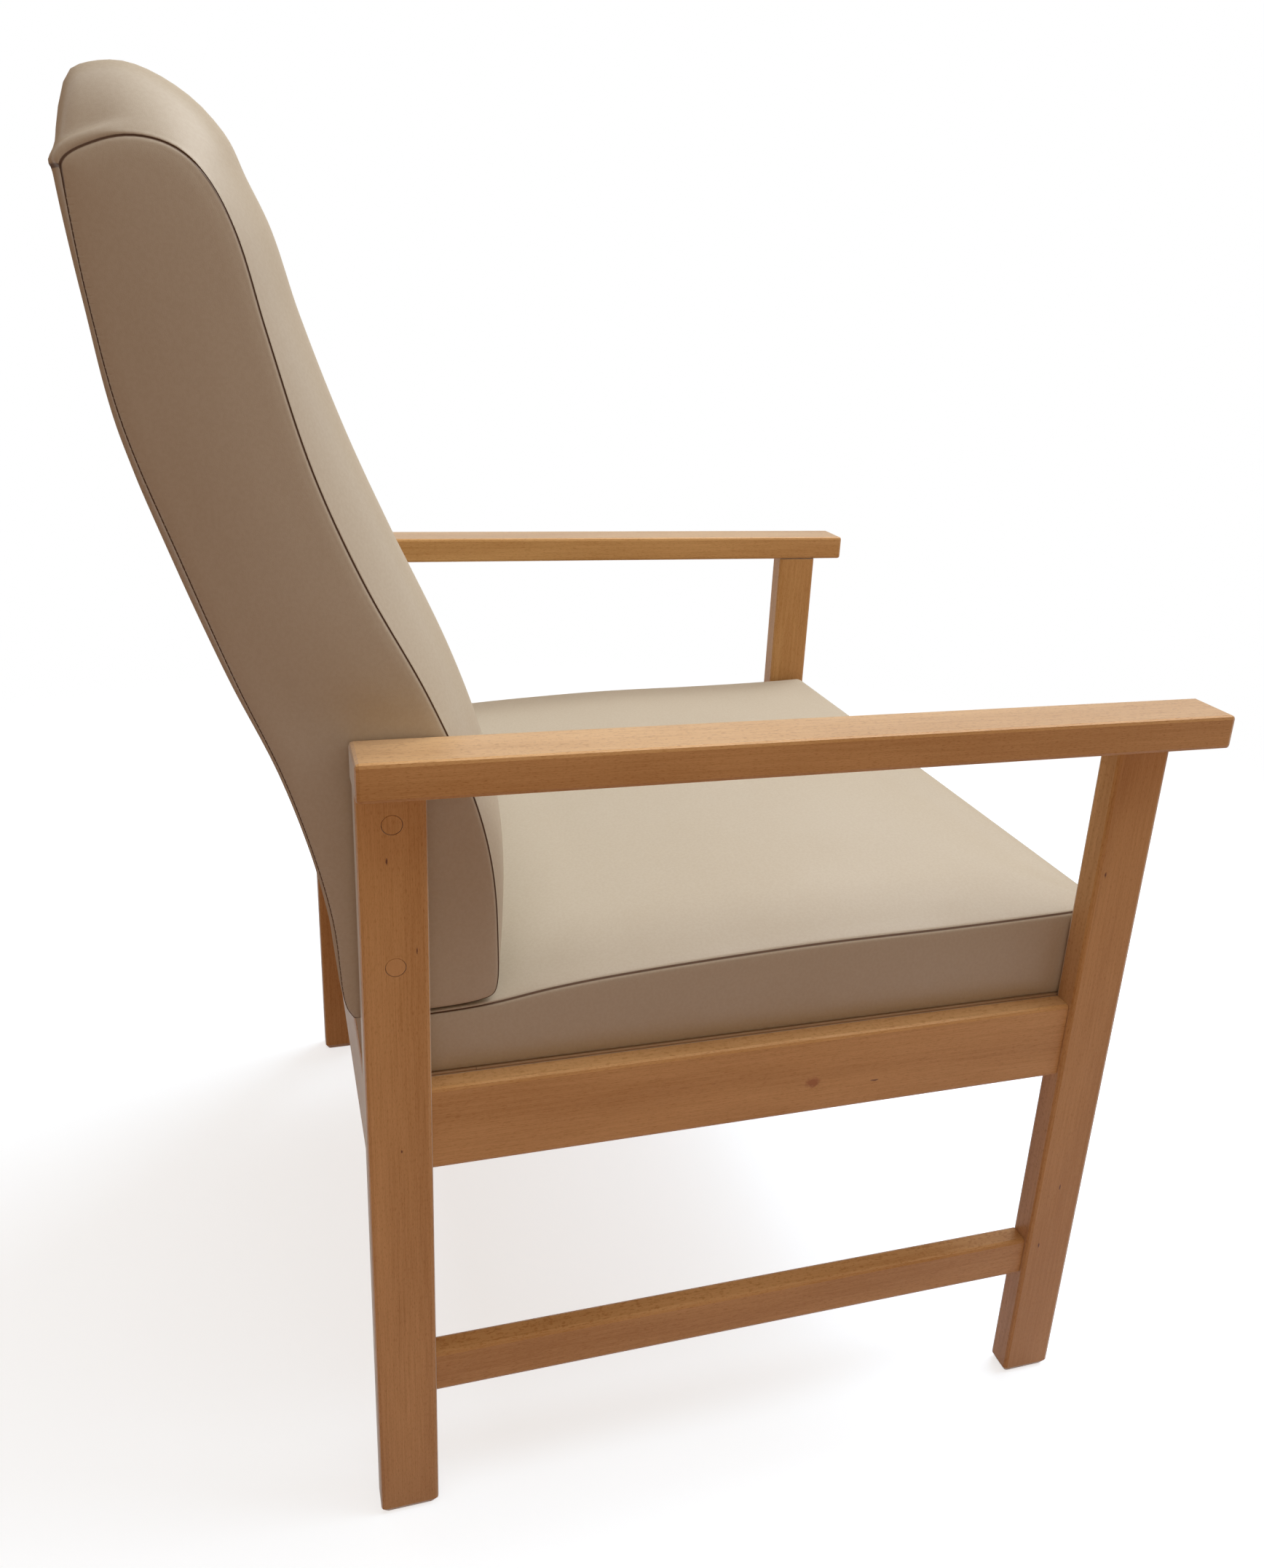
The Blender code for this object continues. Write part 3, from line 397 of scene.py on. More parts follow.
@dataclass(frozen=True)
class SteelFinish:
    """Zinc plated steel of the screws, bolts and tee nuts."""

    bright: Colour = (0.60, 0.60, 0.62)
    dull: Colour = (0.42, 0.42, 0.45)

    def material(self, name: str) -> Material:
        """Makes the material of the fasteners.

        Args:
            name: The material's name.

        Returns:
            The material.
        """
        material, graph, shader = new_material(name)
        cloud = graph.noise(graph.place(), (180.0, 180.0, 180.0), 4.0)
        graph.wire(shader, {"Base Color": graph.mix(cloud, self.bright, self.dull),
                            "Roughness": graph.ramp(cloud, 0.3, 0.7, 0.25, 0.45), "Metallic": 1.0})
        return material


@dataclass(frozen=True)
class WebbingFinish:
    """Woven elastic webbing inside the back."""

    thread: Colour = (0.10, 0.10, 0.10)
    gap: Colour = (0.03, 0.03, 0.03)

    def material(self, name: str) -> Material:
        """Makes the material of the webbing bands.

        Args:
            name: The material's name.

        Returns:
            The material.
        """
        material, graph, shader = new_material(name)
        weave = graph.add("TexChecker", {"Vector": graph.place(), "Scale": 900.0}).outputs["Fac"]
        graph.wire(shader, {"Base Color": graph.mix(weave, self.thread, self.gap), "Roughness": 0.9,
                            "Normal": graph.bump(weave, 0.3, 0.0005)})
        return material


@dataclass(frozen=True)
class VinylFinish:
    """Smooth beige upholstery vinyl with sewn seams, and painted shade along each seam."""

    face: Tree
    # Node group of the painted seam shade and the stitches' pinch.
    seam: Tree
    base: Colour = (0.545, 0.510, 0.417)
    shade: Colour = (0.510, 0.467, 0.372)
    # Colour of the painted shade along the seams' valleys, which is wider at the stitches; the thread name is kept.
    thread: Colour = (0.115, 0.065, 0.036)
    # Width of that painted seam shade.
    line: float = 0.0009
    gloss: float = 0.3

    def material(self, name: str) -> Material:
        """Makes the material of a padded piece, with painted shade along its seams where the piece's own attributes
        put them.

        Args:
            name: The material's name.

        Returns:
            The material.
        """
        material, graph, shader = new_material(name)
        hide = graph.group(self.face, {"Vector": graph.place(), "Base": self.base, "Shade": self.shade})
        gap, run, stitched = (graph.add("Attribute", attribute_name=label).outputs["Fac"] for label in SEAM_LABELS)
        sewn = graph.group(self.seam, {"Distance": gap, "Run": run, "Line": self.line, "Stitched": stitched})
        slant = graph.add("LayerWeight", {"Blend": 0.5}).outputs["Facing"]
        dull = graph.math("MAXIMUM", hide["Roughness"], graph.ramp(slant, 0.55, 0.85, 0.4, 1.0))
        grain = graph.bump(hide["Height"], 0.10, 0.0003)
        # The base colour is darkened towards the thread colour along the seams: painted shade of the seam valleys.
        graph.wire(shader, {"Base Color": graph.mix(sewn["Mask"], hide["Color"], self.thread), "Roughness": dull,
                            "Normal": graph.bump(sewn["Height"], 0.35, 0.0006, Normal=grain),
                            "Specular IOR Level": self.gloss})
        return material


def dress(material: Material, *nodes: str) -> None:
    """Gives CAD nodes a material.

    Args:
        material: The material.
        nodes: Names of the CAD nodes.
    """
    for name in nodes:
        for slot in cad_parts[name].material_slots:
            slot.material = material
        LOG.info("%s: %s", name, material.name)


def take_up(piece: Piece) -> None:
    """Selects a piece, and nothing else, for the operators.

    Args:
        piece: The piece.
    """
    bpy.ops.object.select_all(action="DESELECT")
    piece.select_set(True)
    bpy.context.view_layer.objects.active = piece


def smooth(t: np.ndarray) -> np.ndarray:
    """A smooth step from 0 to 1."""
    t = np.clip(t, 0.0, 1.0)
    return t * t * (3 - 2 * t)


def quarter_round(t: np.ndarray | float) -> np.ndarray:
    """Height of a quarter circle at shares of its width, held at its ends."""
    return np.sqrt(1 - (1 - np.clip(t, 0, 1)) ** 2)


def clear_of(z: np.ndarray, base: float, margin: tuple[float, float]) -> np.ndarray:
    """How clear heights are of a base: 0 up to the margin's gap above it, and 1 past the margin's fade."""
    gap, fade = margin
    return smooth((z - base - gap) / fade)


def square_to(line: np.ndarray) -> np.ndarray:
    """Unit directions square to a line of (y, z) points, to its right."""
    way = np.gradient(line[:, :2], axis=0)
    return np.stack((way[:, 1], -way[:, 0]), 1) / np.linalg.norm(way, axis=1)[:, None]


def curve_through(points: np.ndarray, steps: int) -> np.ndarray:
    """Points of a smooth curve through given points, with tangents from their neighbours.

    Args:
        points: The given points, one a row.
        steps: Points made for each stretch between two given ones.

    Returns:
        The curve's points, one a row.
    """
    lengths = np.linalg.norm(np.diff(points, axis=0), axis=1)
    run = np.concatenate(([0.0], np.cumsum(lengths)))
    slopes = np.gradient(points, run, axis=0, edge_order=1)
    slopes[1:-1] = (points[2:] - points[:-2]) / (run[2:] - run[:-2])[:, None]
    t = np.arange(steps) / steps
    blend = smooth(t)[:, None]
    rise, fall = (t * (1 - t) ** 2)[:, None], (t * t * (1 - t))[:, None]
    pieces = [points[k] * (1 - blend) + points[k + 1] * blend
              + slopes[k] * lengths[k] * rise - slopes[k + 1] * lengths[k] * fall
              for k in range(len(lengths))]
    return np.vstack(pieces + [points[-1:]])


def graded(length: float, cell: float, ends: tuple[float, ...]) -> np.ndarray:
    """Shares of a length, close together near its ends and even between.

    Args:
        length: The length.
        cell: Size of an even step.
        ends: Distances from an end at which a closer step ends.

    Returns:
        The shares, from 0 to 1.
    """
    count = max(round((length - 2 * ends[-1]) / cell), 1)
    even = np.linspace(ends[-1], length - ends[-1], count + 1)
    near = np.array((0.0,) + ends[:-1])
    return np.concatenate((near, even, length - near[::-1])) / length


def coons(bottom: np.ndarray, top: np.ndarray, left: np.ndarray, right: np.ndarray,
          u: np.ndarray, v: np.ndarray) -> np.ndarray:
    """Fills the space between four edges.

    Args:
        bottom: Edge at v = 0, a point for each u.
        top: Edge at v = 1.
        left: Edge at u = 0, a point for each v.
        right: Edge at u = 1.
        u: Shares across.
        v: Shares along.

    Returns:
        Points by u and v.
    """
    a, b = u[:, None, None], v[None, :, None]
    ruled = (1 - b) * bottom[:, None] + b * top[:, None] + (1 - a) * left[None] + a * right[None]
    corners = ((1 - a) * (1 - b) * bottom[0] + a * (1 - b) * bottom[-1] + (1 - a) * b * top[0] + a * b * top[-1])
    return ruled - corners


class Cushion:
    """A padded piece: a grid drawn out into a closed block, moulded, filled and dressed."""

    name = "cushion"
    pressure = 4.0
    settling = 20
    smooth_angle = math.radians(48)
    tightness = 1.0

    def block(self, columns: int, rows: int, layers: int) -> Piece:
        """Draws a grid out into a block whose points keep their column, row and layer.

        Args:
            columns: Cells across the grid.
            rows: Cells along it.
            layers: How often it is drawn out.

        Returns:
            The block.
        """
        bpy.ops.object.select_all(action="DESELECT")
        bpy.ops.mesh.primitive_grid_add(x_subdivisions=columns, y_subdivisions=rows, size=2)
        piece = bpy.context.active_object
        mesh = piece.data
        piece.name = mesh.name = self.name
        mesh.uv_layers.remove(mesh.uv_layers[0])
        for label, axis, count in (("column", 0, columns), ("row", 1, rows)):
            layer = mesh.attributes.new(label, "INT", "POINT")
            layer.data.foreach_set("value", [round((v.co[axis] + 1) / 2 * count) for v in mesh.vertices])
        bpy.ops.object.mode_set(mode="EDIT")
        bpy.ops.mesh.select_all(action="SELECT")
        for _ in range(layers):
            bpy.ops.mesh.extrude_region_move(TRANSFORM_OT_translate={"value": (0, 0, -1)})
        bpy.ops.object.mode_set(mode="OBJECT")
        self.columns, self.rows, self.layers = columns, rows, layers
        self.column, self.row = (self.read(mesh, label).astype(int) for label in ("column", "row"))
        self.layer = np.array([round(-v.co.z) for v in mesh.vertices])
        for label in ("column", "row"):
            mesh.attributes.remove(mesh.attributes[label])
        return piece

    @staticmethod
    def read(mesh: bpy.types.Mesh, label: str) -> np.ndarray:
        """Reads a point attribute.

        Args:
            mesh: The mesh.
            label: The attribute's name.

        Returns:
            A value for each point.
        """
        values = np.zeros(len(mesh.vertices))
        mesh.attributes[label].data.foreach_get("value", values)
        return values

    @staticmethod
    def places(piece: Piece, kind: str = "co") -> np.ndarray:
        """Reads the piece's points, or their normals.

        Args:
            piece: The piece.
            kind: Blender's name for what is read.

        Returns:
            A row for each point.
        """
        found = np.zeros(len(piece.data.vertices) * 3)
        piece.data.vertices.foreach_get(kind, found)
        return found.reshape(-1, 3)

    @staticmethod
    def place(piece: Piece, points: np.ndarray) -> None:
        """Moves the piece's points."""
        piece.data.vertices.foreach_set("co", points.ravel())
        piece.data.update()

    def rim(self) -> np.ndarray:
        """Which points lie on the block's wall, seam included."""
        return (self.column == 0) | (self.column == self.columns) | (self.row == 0) | (self.row == self.rows)

    def around(self, bottom: np.ndarray, top: np.ndarray, left: np.ndarray, right: np.ndarray) -> np.ndarray:
        """Spreads four sides, in the order that coons takes, over the block's wall.

        Args:
            bottom: Values along the first row of points.
            top: Values along the last row.
            left: Values along the first column.
            right: Values along the last column.

        Returns:
            The values at every point, of zero off the wall.
        """
        found = np.zeros((len(self.column), bottom.shape[1]))
        for side, here, index in ((left, self.column == 0, self.row), (right, self.column == self.columns, self.row),
                                  (bottom, self.row == 0, self.column), (top, self.row == self.rows, self.column)):
            found[here] = side[index[here]]
        return found

    def turn_out(self, piece: Piece) -> None:
        """Turns every face outwards.

        Args:
            piece: The piece.
        """
        take_up(piece)
        bpy.ops.object.mode_set(mode="EDIT")
        bpy.ops.mesh.select_all(action="SELECT")
        bpy.ops.mesh.normals_make_consistent(inside=False)
        bpy.ops.object.mode_set(mode="OBJECT")

    def fill(self, piece: Piece, held: np.ndarray, reach: np.ndarray) -> None:
        """Fills the piece by a cloth simulation that may only push it outwards, and only so far.

        Args:
            piece: The moulded piece.
            held: Which points stay where they are.
            reach: The most that each point may move, in metres.
        """
        start, normals = self.places(piece), self.places(piece, "normal")
        pins = piece.vertex_groups.new(name="held")
        pins.add([int(k) for k in np.flatnonzero(held)], 1.0, "REPLACE")
        cloth = piece.modifiers.new("filling", "CLOTH")
        fabric = cloth.settings
        fabric.quality = 6
        fabric.mass = 0.35
        fabric.tension_stiffness = fabric.compression_stiffness = 30
        fabric.shear_stiffness = 15
        fabric.bending_stiffness = 3
        fabric.use_pressure = True
        fabric.uniform_pressure_force = self.pressure
        fabric.effector_weights.gravity = 0
        fabric.vertex_group_mass = pins.name
        cloth.point_cache.frame_start, cloth.point_cache.frame_end = 1, self.settling
        scene = bpy.context.scene
        for step in range(1, self.settling + 1):
            scene.frame_set(step)
        settled = piece.evaluated_get(bpy.context.evaluated_depsgraph_get())
        move = self.places(settled) - start
        piece.modifiers.remove(cloth)
        piece.vertex_groups.remove(pins)
        scene.frame_set(1)
        outward = np.maximum((move * normals).sum(1), 0.0)
        cap = np.maximum(reach, 1e-9)
        kept = np.where(held, 0.0, cap * np.tanh(outward / cap))
        LOG.info("%s: pushed out up to %.1f mm, kept %.1f mm", self.name, outward.max() * 1e3, kept.max() * 1e3)
        self.place(piece, start + normals * kept[:, None])

    def sew(self, piece: Piece, seam: np.ndarray, *marks: np.ndarray) -> None:
        """Keeps the seams sharp and tells the material where they are, for the painted shade along them.

        Args:
            piece: The piece.
            seam: Which points are on a seam.
            marks: Each point's distance from the nearest seam, its distance along that seam, and where the
                seam's stitches show.
        """
        mesh = piece.data
        for label, values in zip(SEAM_LABELS, marks):
            mesh.attributes.new(label, "FLOAT", "POINT").data.foreach_set("value", values)
        crease = mesh.attributes.new("crease_edge", "FLOAT", "EDGE")
        crease.data.foreach_set("value", [float(all(seam[k] for k in edge.vertices)) for edge in mesh.edges])

    def finish(self, piece: Piece, finish: VinylFinish, *nodes: str) -> None:
        """Subdivides and shades the piece, gives it its vinyl and puts it in the nodes' place.

        Args:
            piece: The piece.
            finish: Its finish.
            nodes: CAD nodes that it replaces.
        """
        finer = piece.modifiers.new("finer", "SUBSURF")
        finer.levels = finer.render_levels = 1
        take_up(piece)
        bpy.ops.object.modifier_apply(modifier=finer.name)
        bpy.ops.object.shade_smooth_by_angle(angle=self.smooth_angle)
        piece.data.materials.clear()
        piece.data.materials.append(finish.material(f"{self.name}_vinyl"))
        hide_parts(*nodes)
        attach(piece, "root")
        LOG.info("%s: %d faces", self.name, len(piece.data.polygons))


@dataclass
class SeatCushion(Cushion):
    """The boxed seat: a crowned top panel sewn to a boxing that turns in under the board."""

    name: str = "seat_cushion"
    half_width: float = 0.3444
    corner: float = 0.016
    least_corner: float = 0.004
    seam: tuple[tuple[float, float], ...] = (
        (0.000, 0.0500), (0.055, 0.0502), (0.095, 0.0526), (0.140, 0.0595), (0.185, 0.0641),
        (0.265, 0.0690), (0.360, 0.0729), (0.480, 0.0742), (0.580, 0.0766), (0.640, 0.0795))
    seam_steps: int = 20
    free: float = 0.203
    pressed: float = 0.085
    soft_edge: float = 0.0045
    soft_width: float = 0.030
    pressed_edge: float = 0.0027
    pressed_width: float = 0.010
    pressed_roll: tuple[tuple[float, float], ...] = (
        (0.0, 0.0), (0.0018, 0.0038), (0.0045, 0.0070), (0.009, 0.0085), (0.016, 0.0055), (0.030, 0.0))
    pressed_from: float = 0.112
    pressed_fade: float = 0.025
    crown: float = 0.009
    seam_draw: float = 0.0035
    seam_far: float = 0.02
    foot: float = 0.002
    lip: float = 0.014
    cover: float = 0.0016
    board_gap: float = 0.0004
    ceiling_inset: float = 0.0005
    cell: float = 0.010
    ends: tuple[float, ...] = (0.0018, 0.0045, 0.009, 0.016)
    boxing: tuple[float, ...] = (0.0015, 0.004, 0.010)
    boxing_rows: int = 5
    swell: float = 0.0035
    top_swell: float = 0.007
    leg_fade: float = 0.03
    tightness: float = 0.9

    def __post_init__(self) -> None:
        """Takes the seat's place from the CAD."""
        low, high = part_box("seat_cover")
        self.front, self.rear, self.bottom = low.y, high.y, low.z
        self.legs_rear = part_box("rear_leg_right")[1].y
        self.free_rear = self.legs_rear - self.free
        self.rail_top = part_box("side_rail_right")[1].z
        self.board_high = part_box("seat_board")[1]

    def seam_height(self, y: np.ndarray) -> np.ndarray:
        """Height of the top seam at places along the seat's depth."""
        line = curve_through(np.array(self.seam), self.seam_steps)
        return self.rail_top + np.interp(self.legs_rear - y, line[:, 0], line[:, 1])

    def loose(self, y: np.ndarray) -> np.ndarray:
        """How free of the back the top panel is along the seat's depth, from 1 in front to 0."""
        return 1 - smooth((y - self.free_rear) / (self.free - self.pressed))

    def top_height(self, x: np.ndarray, y: np.ndarray) -> np.ndarray:
        """Height of the top panel: its seam, a soft edge and a crown that dies out under the back.

        Args:
            x: Places across the seat.
            y: Places along its depth.

        Returns:
            The heights.
        """
        edge = np.minimum(self.half_width - np.abs(x), np.minimum(y - self.front, self.rear - y)) - self.seam_draw
        soft, pressed = (quarter_round(edge / width) for width in (self.soft_width, self.pressed_width))
        middle = (self.front + self.free_rear) / 2
        reach = self.free_rear - middle
        crown = np.clip(1 - (x / self.half_width) ** 2, 0, 1) * np.clip(1 - ((y - middle) / reach) ** 2, 0, 1)
        loose = self.loose(y)
        rise = loose * (self.soft_edge * soft + self.crown * crown) + (1 - loose) * self.pressed_edge * pressed
        return self.seam_height(y) + rise

    def rolled_out(self, x: np.ndarray, y: np.ndarray) -> np.ndarray:
        """How far the top panel's sides roll out over their seams where the back presses them.

        Args:
            x: Places across the seat.
            y: Places along its depth.

        Returns:
            The moves across the seat.
        """
        edges, moves = np.array(self.pressed_roll).T
        share = smooth((y - self.legs_rear + self.pressed_from) / self.pressed_fade)
        return np.sign(x) * share * np.interp(self.half_width - self.seam_draw - np.abs(x), edges, moves)

    def outline(self, inset: float) -> tuple[np.ndarray, ...]:
        """The four sides of the seat's plan drawn in by an inset, each from middle to middle of its corners.

        Args:
            inset: How far the plan is drawn in.

        Returns:
            The front, rear, right and left side.
        """
        half = np.array((self.half_width - inset, (self.rear - self.front) / 2 - inset))
        radius = max(self.corner - inset, self.least_corner)
        centre = np.array((0.0, (self.rear + self.front) / 2))
        arc = radius * math.pi / 4
        sides = []
        for along, across, shares in (((1, 0), (0, -1), self.u), ((1, 0), (0, 1), self.u),
                                      ((0, 1), (-1, 0), self.v), ((0, 1), (1, 0), self.v)):
            along, across = np.array(along, float), np.array(across, float)
            reach, away = half @ np.abs(along), half @ np.abs(across)
            straight = 2 * (reach - radius)
            run = shares * (straight + 2 * arc)
            angle = np.where(run < arc, (arc - run) / radius, np.maximum(run - arc - straight, 0) / radius)
            sign = np.where(run < arc, -1.0, 1.0)
            middle = np.clip(run - arc, 0, straight) - straight / 2
            aside = middle + np.where(angle > 0, sign * radius * np.sin(angle), 0)
            out = away - radius + radius * np.cos(angle)
            sides.append(centre + aside[:, None] * along + out[:, None] * across)
        return tuple(sides)

    def wall(self, inset: float, here: np.ndarray) -> np.ndarray:
        """The plan drawn in by an inset, at some points of the wall."""
        return self.around(*self.outline(inset))[here]

    def panel(self, inset: float, here: np.ndarray) -> np.ndarray:
        """A flat panel that fills the plan drawn in by an inset, at some points of the top or bottom."""
        return coons(*self.outline(inset), self.u, self.v)[self.column[here], self.row[here]]

    def build(self, finish: VinylFinish) -> Piece:
        """Moulds, fills and dresses the seat.

        Args:
            finish: The seat's vinyl.

        Returns:
            The finished piece.
        """
        width, depth = 2 * self.half_width, self.rear - self.front
        self.u, self.v = graded(width, self.cell, self.ends), graded(depth, self.cell, self.ends)
        recess = self.half_width - self.board_high.x - self.board_gap
        ceiling = self.board_high.z + self.board_gap
        turns = ((self.foot, self.bottom), (self.lip, self.bottom), (self.lip, self.bottom + self.cover),
                 (recess, self.bottom + self.cover), (recess, ceiling))
        rolled = len(self.boxing)
        foot = rolled + self.boxing_rows
        piece = self.block(len(self.u) - 1, len(self.v) - 1, foot + len(turns) + 1)
        points = np.zeros((len(self.column), 3))
        top = self.layer == 0
        points[top, :2] = self.panel(self.seam_draw, top)
        points[top, 2] = self.top_height(points[top, 0], points[top, 1])
        points[top, 0] += self.rolled_out(points[top, 0], points[top, 1])
        seam = top & self.rim()
        points[seam, :2] = self.wall(self.seam_draw, seam)
        points[seam, 2] = self.seam_height(points[seam, 1])
        for step, drop in enumerate(self.boxing, 1):
            here = self.layer == step
            points[here, :2] = self.wall(self.seam_draw * (1 - quarter_round(drop / self.boxing[-1])), here)
            points[here, 2] = self.seam_height(points[here, 1]) - drop
        for step in range(1, self.boxing_rows + 1):
            here = self.layer == rolled + step
            points[here, :2] = self.wall(0, here)
            high = self.seam_height(points[here, 1]) - self.boxing[-1]
            points[here, 2] = high + (self.bottom + self.foot - high) * step / self.boxing_rows
        for step, (inset, height) in enumerate(turns, 1):
            here = self.layer == foot + step
            points[here, :2] = self.wall(inset, here)
            points[here, 2] = height
        cap = self.layer == self.layers
        points[cap, :2] = self.panel(recess + self.ceiling_inset, cap)
        points[cap, 2] = ceiling
        self.place(piece, points)
        self.turn_out(piece)
        self.swell_out(piece, points, seam, foot)
        self.mark_seams(piece, seam)
        self.finish(piece, finish, "seat_cover", "seat_foam")
        return piece

    def swell_out(self, piece: Piece, points: np.ndarray, seam: np.ndarray, foot: int) -> None:
        """Fills the seat, held at its seam, at its foot and under the back.

        Args:
            piece: The moulded seat.
            points: Its points.
            seam: Which of them are on the seam.
            foot: The layer of the boxing's foot.
        """
        y = points[:, 1]
        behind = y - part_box("front_leg_right")[1].y
        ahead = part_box("rear_leg_right")[0].y - y
        clear = smooth(behind / self.leg_fade) * smooth(ahead / self.leg_fade)
        reach = np.where(self.layer > 0, self.swell * clear, self.top_swell * self.loose(y))
        self.fill(piece, seam | (self.layer >= foot), reach)

    def mark_seams(self, piece: Piece, seam: np.ndarray) -> None:
        """Finds each point's distance from the top seam and along it.

        Args:
            piece: The filled seat.
            seam: Which points are on the seam.
        """
        points = self.places(piece)
        edge = np.minimum(np.minimum(self.column, self.columns - self.column),
                          np.minimum(self.row, self.rows - self.row))
        insets = np.array((0.0, *self.ends, self.seam_far))
        top = self.layer == 0
        gap = np.full(len(points), self.seam_far)
        gap[top] = insets[np.minimum(edge[top], len(insets) - 1)]
        for step, drop in enumerate(self.boxing, 1):
            gap[self.layer == step] = drop
        gap[seam] = 0.0
        self.sew(piece, seam, gap, points[:, 0] + points[:, 1], np.zeros(len(points)))


@dataclass
class BackCushion(Cushion):
    """The curved back: flat gussets, a front panel with a head roll, and a rear panel."""

    name: str = "back_cushion"
    half_width: float = 0.3444
    lift: float = 0.0003
    seam_draw: float = 0.002
    strip: tuple[Point, ...] = (
        (0.1385, 0.5452, 0.003), (0.1376, 0.5482, 0.010), (0.1345, 0.5512, 0.0215), (0.1320, 0.5534, 0.0445),
        (0.106, 0.5628, 0.0425), (0.080, 0.5593, 0.0303),
        (0.063, 0.543, 0.020), (0.050, 0.515, 0.0195), (0.038, 0.467, 0.0215), (0.0155, 0.386, 0.0275),
        (-0.013, 0.316, 0.029), (-0.053, 0.238, 0.0255), (-0.083, 0.164, 0.021), (-0.0965, 0.105, 0.017),
        (-0.1005, 0.032, 0.010), (-0.0990, 0.0112, 0.003), (-0.0930, 0.0050, 0.000), (-0.068, 0.0012, 0.000),
        (0.004, 0.000, 0.000))
    rear: tuple[Point, ...] = (
        (0.1385, 0.5452, 0.0066), (0.1365, 0.520, 0.0058), (0.132, 0.479, 0.0045), (0.120, 0.410, 0.0055),
        (0.094, 0.329, 0.0065), (0.068, 0.253, 0.0055), (0.043, 0.188, 0.004), (0.025, 0.125, 0.003),
        (0.015, 0.074, 0.002), (0.010, 0.012, 0.001), (0.004, 0.000, 0.000))
    steps: int = 40
    brow: int = 6
    toe: float = 15.5
    head_lean: float = 0.45
    roll_width: float = 0.070
    rear_roll_width: float = 0.022
    roll_power: float = 0.9
    stitch_reach: float = 0.012
    fold: float = 0.0005
    fold_end: float = 0.0035
    welt: float = 0.007
    crease: float = 0.010
    welt_end: tuple[float, float] = (0.022, 0.045)
    crown: float = 0.15
    gusset_margin: float = 0.010
    pillow: float = 0.003
    pillow_width: float = 0.040
    pillow_clear: tuple[float, float] = (0.01, 0.08)
    cell: float = 0.010
    ends: tuple[float, ...] = (0.0018, 0.0045, 0.009, 0.016)
    stations: tuple[float, ...] = (0.0005, 0.0018, 0.0038, 0.0065, 0.0095, 0.0135, 0.019, 0.027, 0.037, 0.048,
                                   0.060, 0.072)
    inner_stations: int = 28
    swell: float = 0.003
    swell_clear: tuple[float, float] = (0.005, 0.06)
    panel_swell: float = 0.0013
    panel_clear: tuple[float, float] = (0.01, 0.08)
    tuck_depth: float = 0.0012
    tightness: float = 0.85

    def __post_init__(self) -> None:
        """Takes the back's place from the CAD."""
        self.legs_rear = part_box("rear_leg_right")[1].y
        self.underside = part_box("back_cover")[0].z + self.lift
        self.arm_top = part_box("armrest_right")[1].z

    def sides(self) -> dict[str, np.ndarray]:
        """The outline's four sides as rows of (y, z, proud, swell y, swell z).

        Returns:
            Bottom and top from rear to front, rear and front from bottom to top.
        """
        shift = np.array((self.legs_rear, self.underside, 0.0))
        strip, rear = (curve_through(np.array(line) + shift, self.steps) for line in (self.strip, self.rear))
        out = square_to(strip)
        swell = np.stack((np.minimum(out[:, 0], out[:, 0] * self.head_lean), np.maximum(out[:, 1], 0)), 1)
        strip = np.hstack((strip[:, :2], np.maximum(strip[:, 2:], 0), swell))
        rear = np.hstack((rear[:, :2], np.maximum(rear[:, 2:], 0), -square_to(rear)))
        brow, toe = self.brow * self.steps, round(self.toe * self.steps)
        return {"bottom": strip[toe:][::-1], "top": strip[:brow + 1],
                "rear": rear[::-1], "front": strip[brow:toe + 1][::-1]}

    @staticmethod
    def length(side: np.ndarray) -> np.ndarray:
        """Distance along a side at each of its points."""
        steps = np.linalg.norm(np.diff(side[:, :2], axis=0), axis=1)
        return np.concatenate(([0.0], np.cumsum(steps)))

    def sampled(self, side: np.ndarray, shares: np.ndarray) -> np.ndarray:
        """A side at shares of its length."""
        run = self.length(side)
        return np.stack([np.interp(shares * run[-1], run, column) for column in side.T], 1)

    def build(self, finish: VinylFinish) -> Piece:
        """Moulds, fills and dresses the back.

        Args:
            finish: The back's vinyl.

        Returns:
            The finished piece.
        """
        sides = self.sides()
        self.u, self.v = (graded(self.length(sides[label])[-1], self.cell, self.ends) for label in ("bottom", "front"))
        edges = {label: self.sampled(side, self.u if label in ("bottom", "top") else self.v)
                 for label, side in sides.items()}
        plane = self.half_width - self.seam_draw
        inner = np.linspace(self.stations[-1], plane, self.inner_stations)[1:-1]
        depths = np.concatenate(((0.0,), self.stations, inner))
        across = np.concatenate((plane - depths, [0.0], depths[::-1] - plane))
        piece = self.block(len(self.u) - 1, len(self.v) - 1, len(across) - 1)
        points = np.zeros((len(self.column), 3))
        outline = self.around(*edges.values())
        rim = self.rim()
        x = across[self.layer]
        depth = plane - np.abs(x)
        is_rear = rim & (self.column == 0) & (self.row < self.rows)
        roll = np.where(is_rear, self.rear_roll_width, self.roll_width)
        full = self.fullness(depth, roll)
        welted = self.head_welt(edges)
        full += welted * (self.fullness(depth - self.crease, roll - self.crease) - full)
        share = depth / self.half_width
        crown = np.where(is_rear, 1.0, 1 + self.crown * share * (2 - share))
        points[rim, 0] = x[rim]
        points[rim, 1:] = (outline[:, :2] + outline[:, 3:] * (outline[:, 2] * full * crown)[:, None])[rim]
        points[:, 1:] += self.head_fold(edges, depth) + self.head_roll(edges, depth, welted)
        patch = coons(*(edge[:, :2] for edge in edges.values()), self.u, self.v)
        flat = ~rim
        points[flat, 1:] = patch[self.column[flat], self.row[flat]]
        inset = self.to_outline(points[flat, 1:], edges)[0]
        bulge = self.seam_draw * self.fullness(inset, self.gusset_margin)
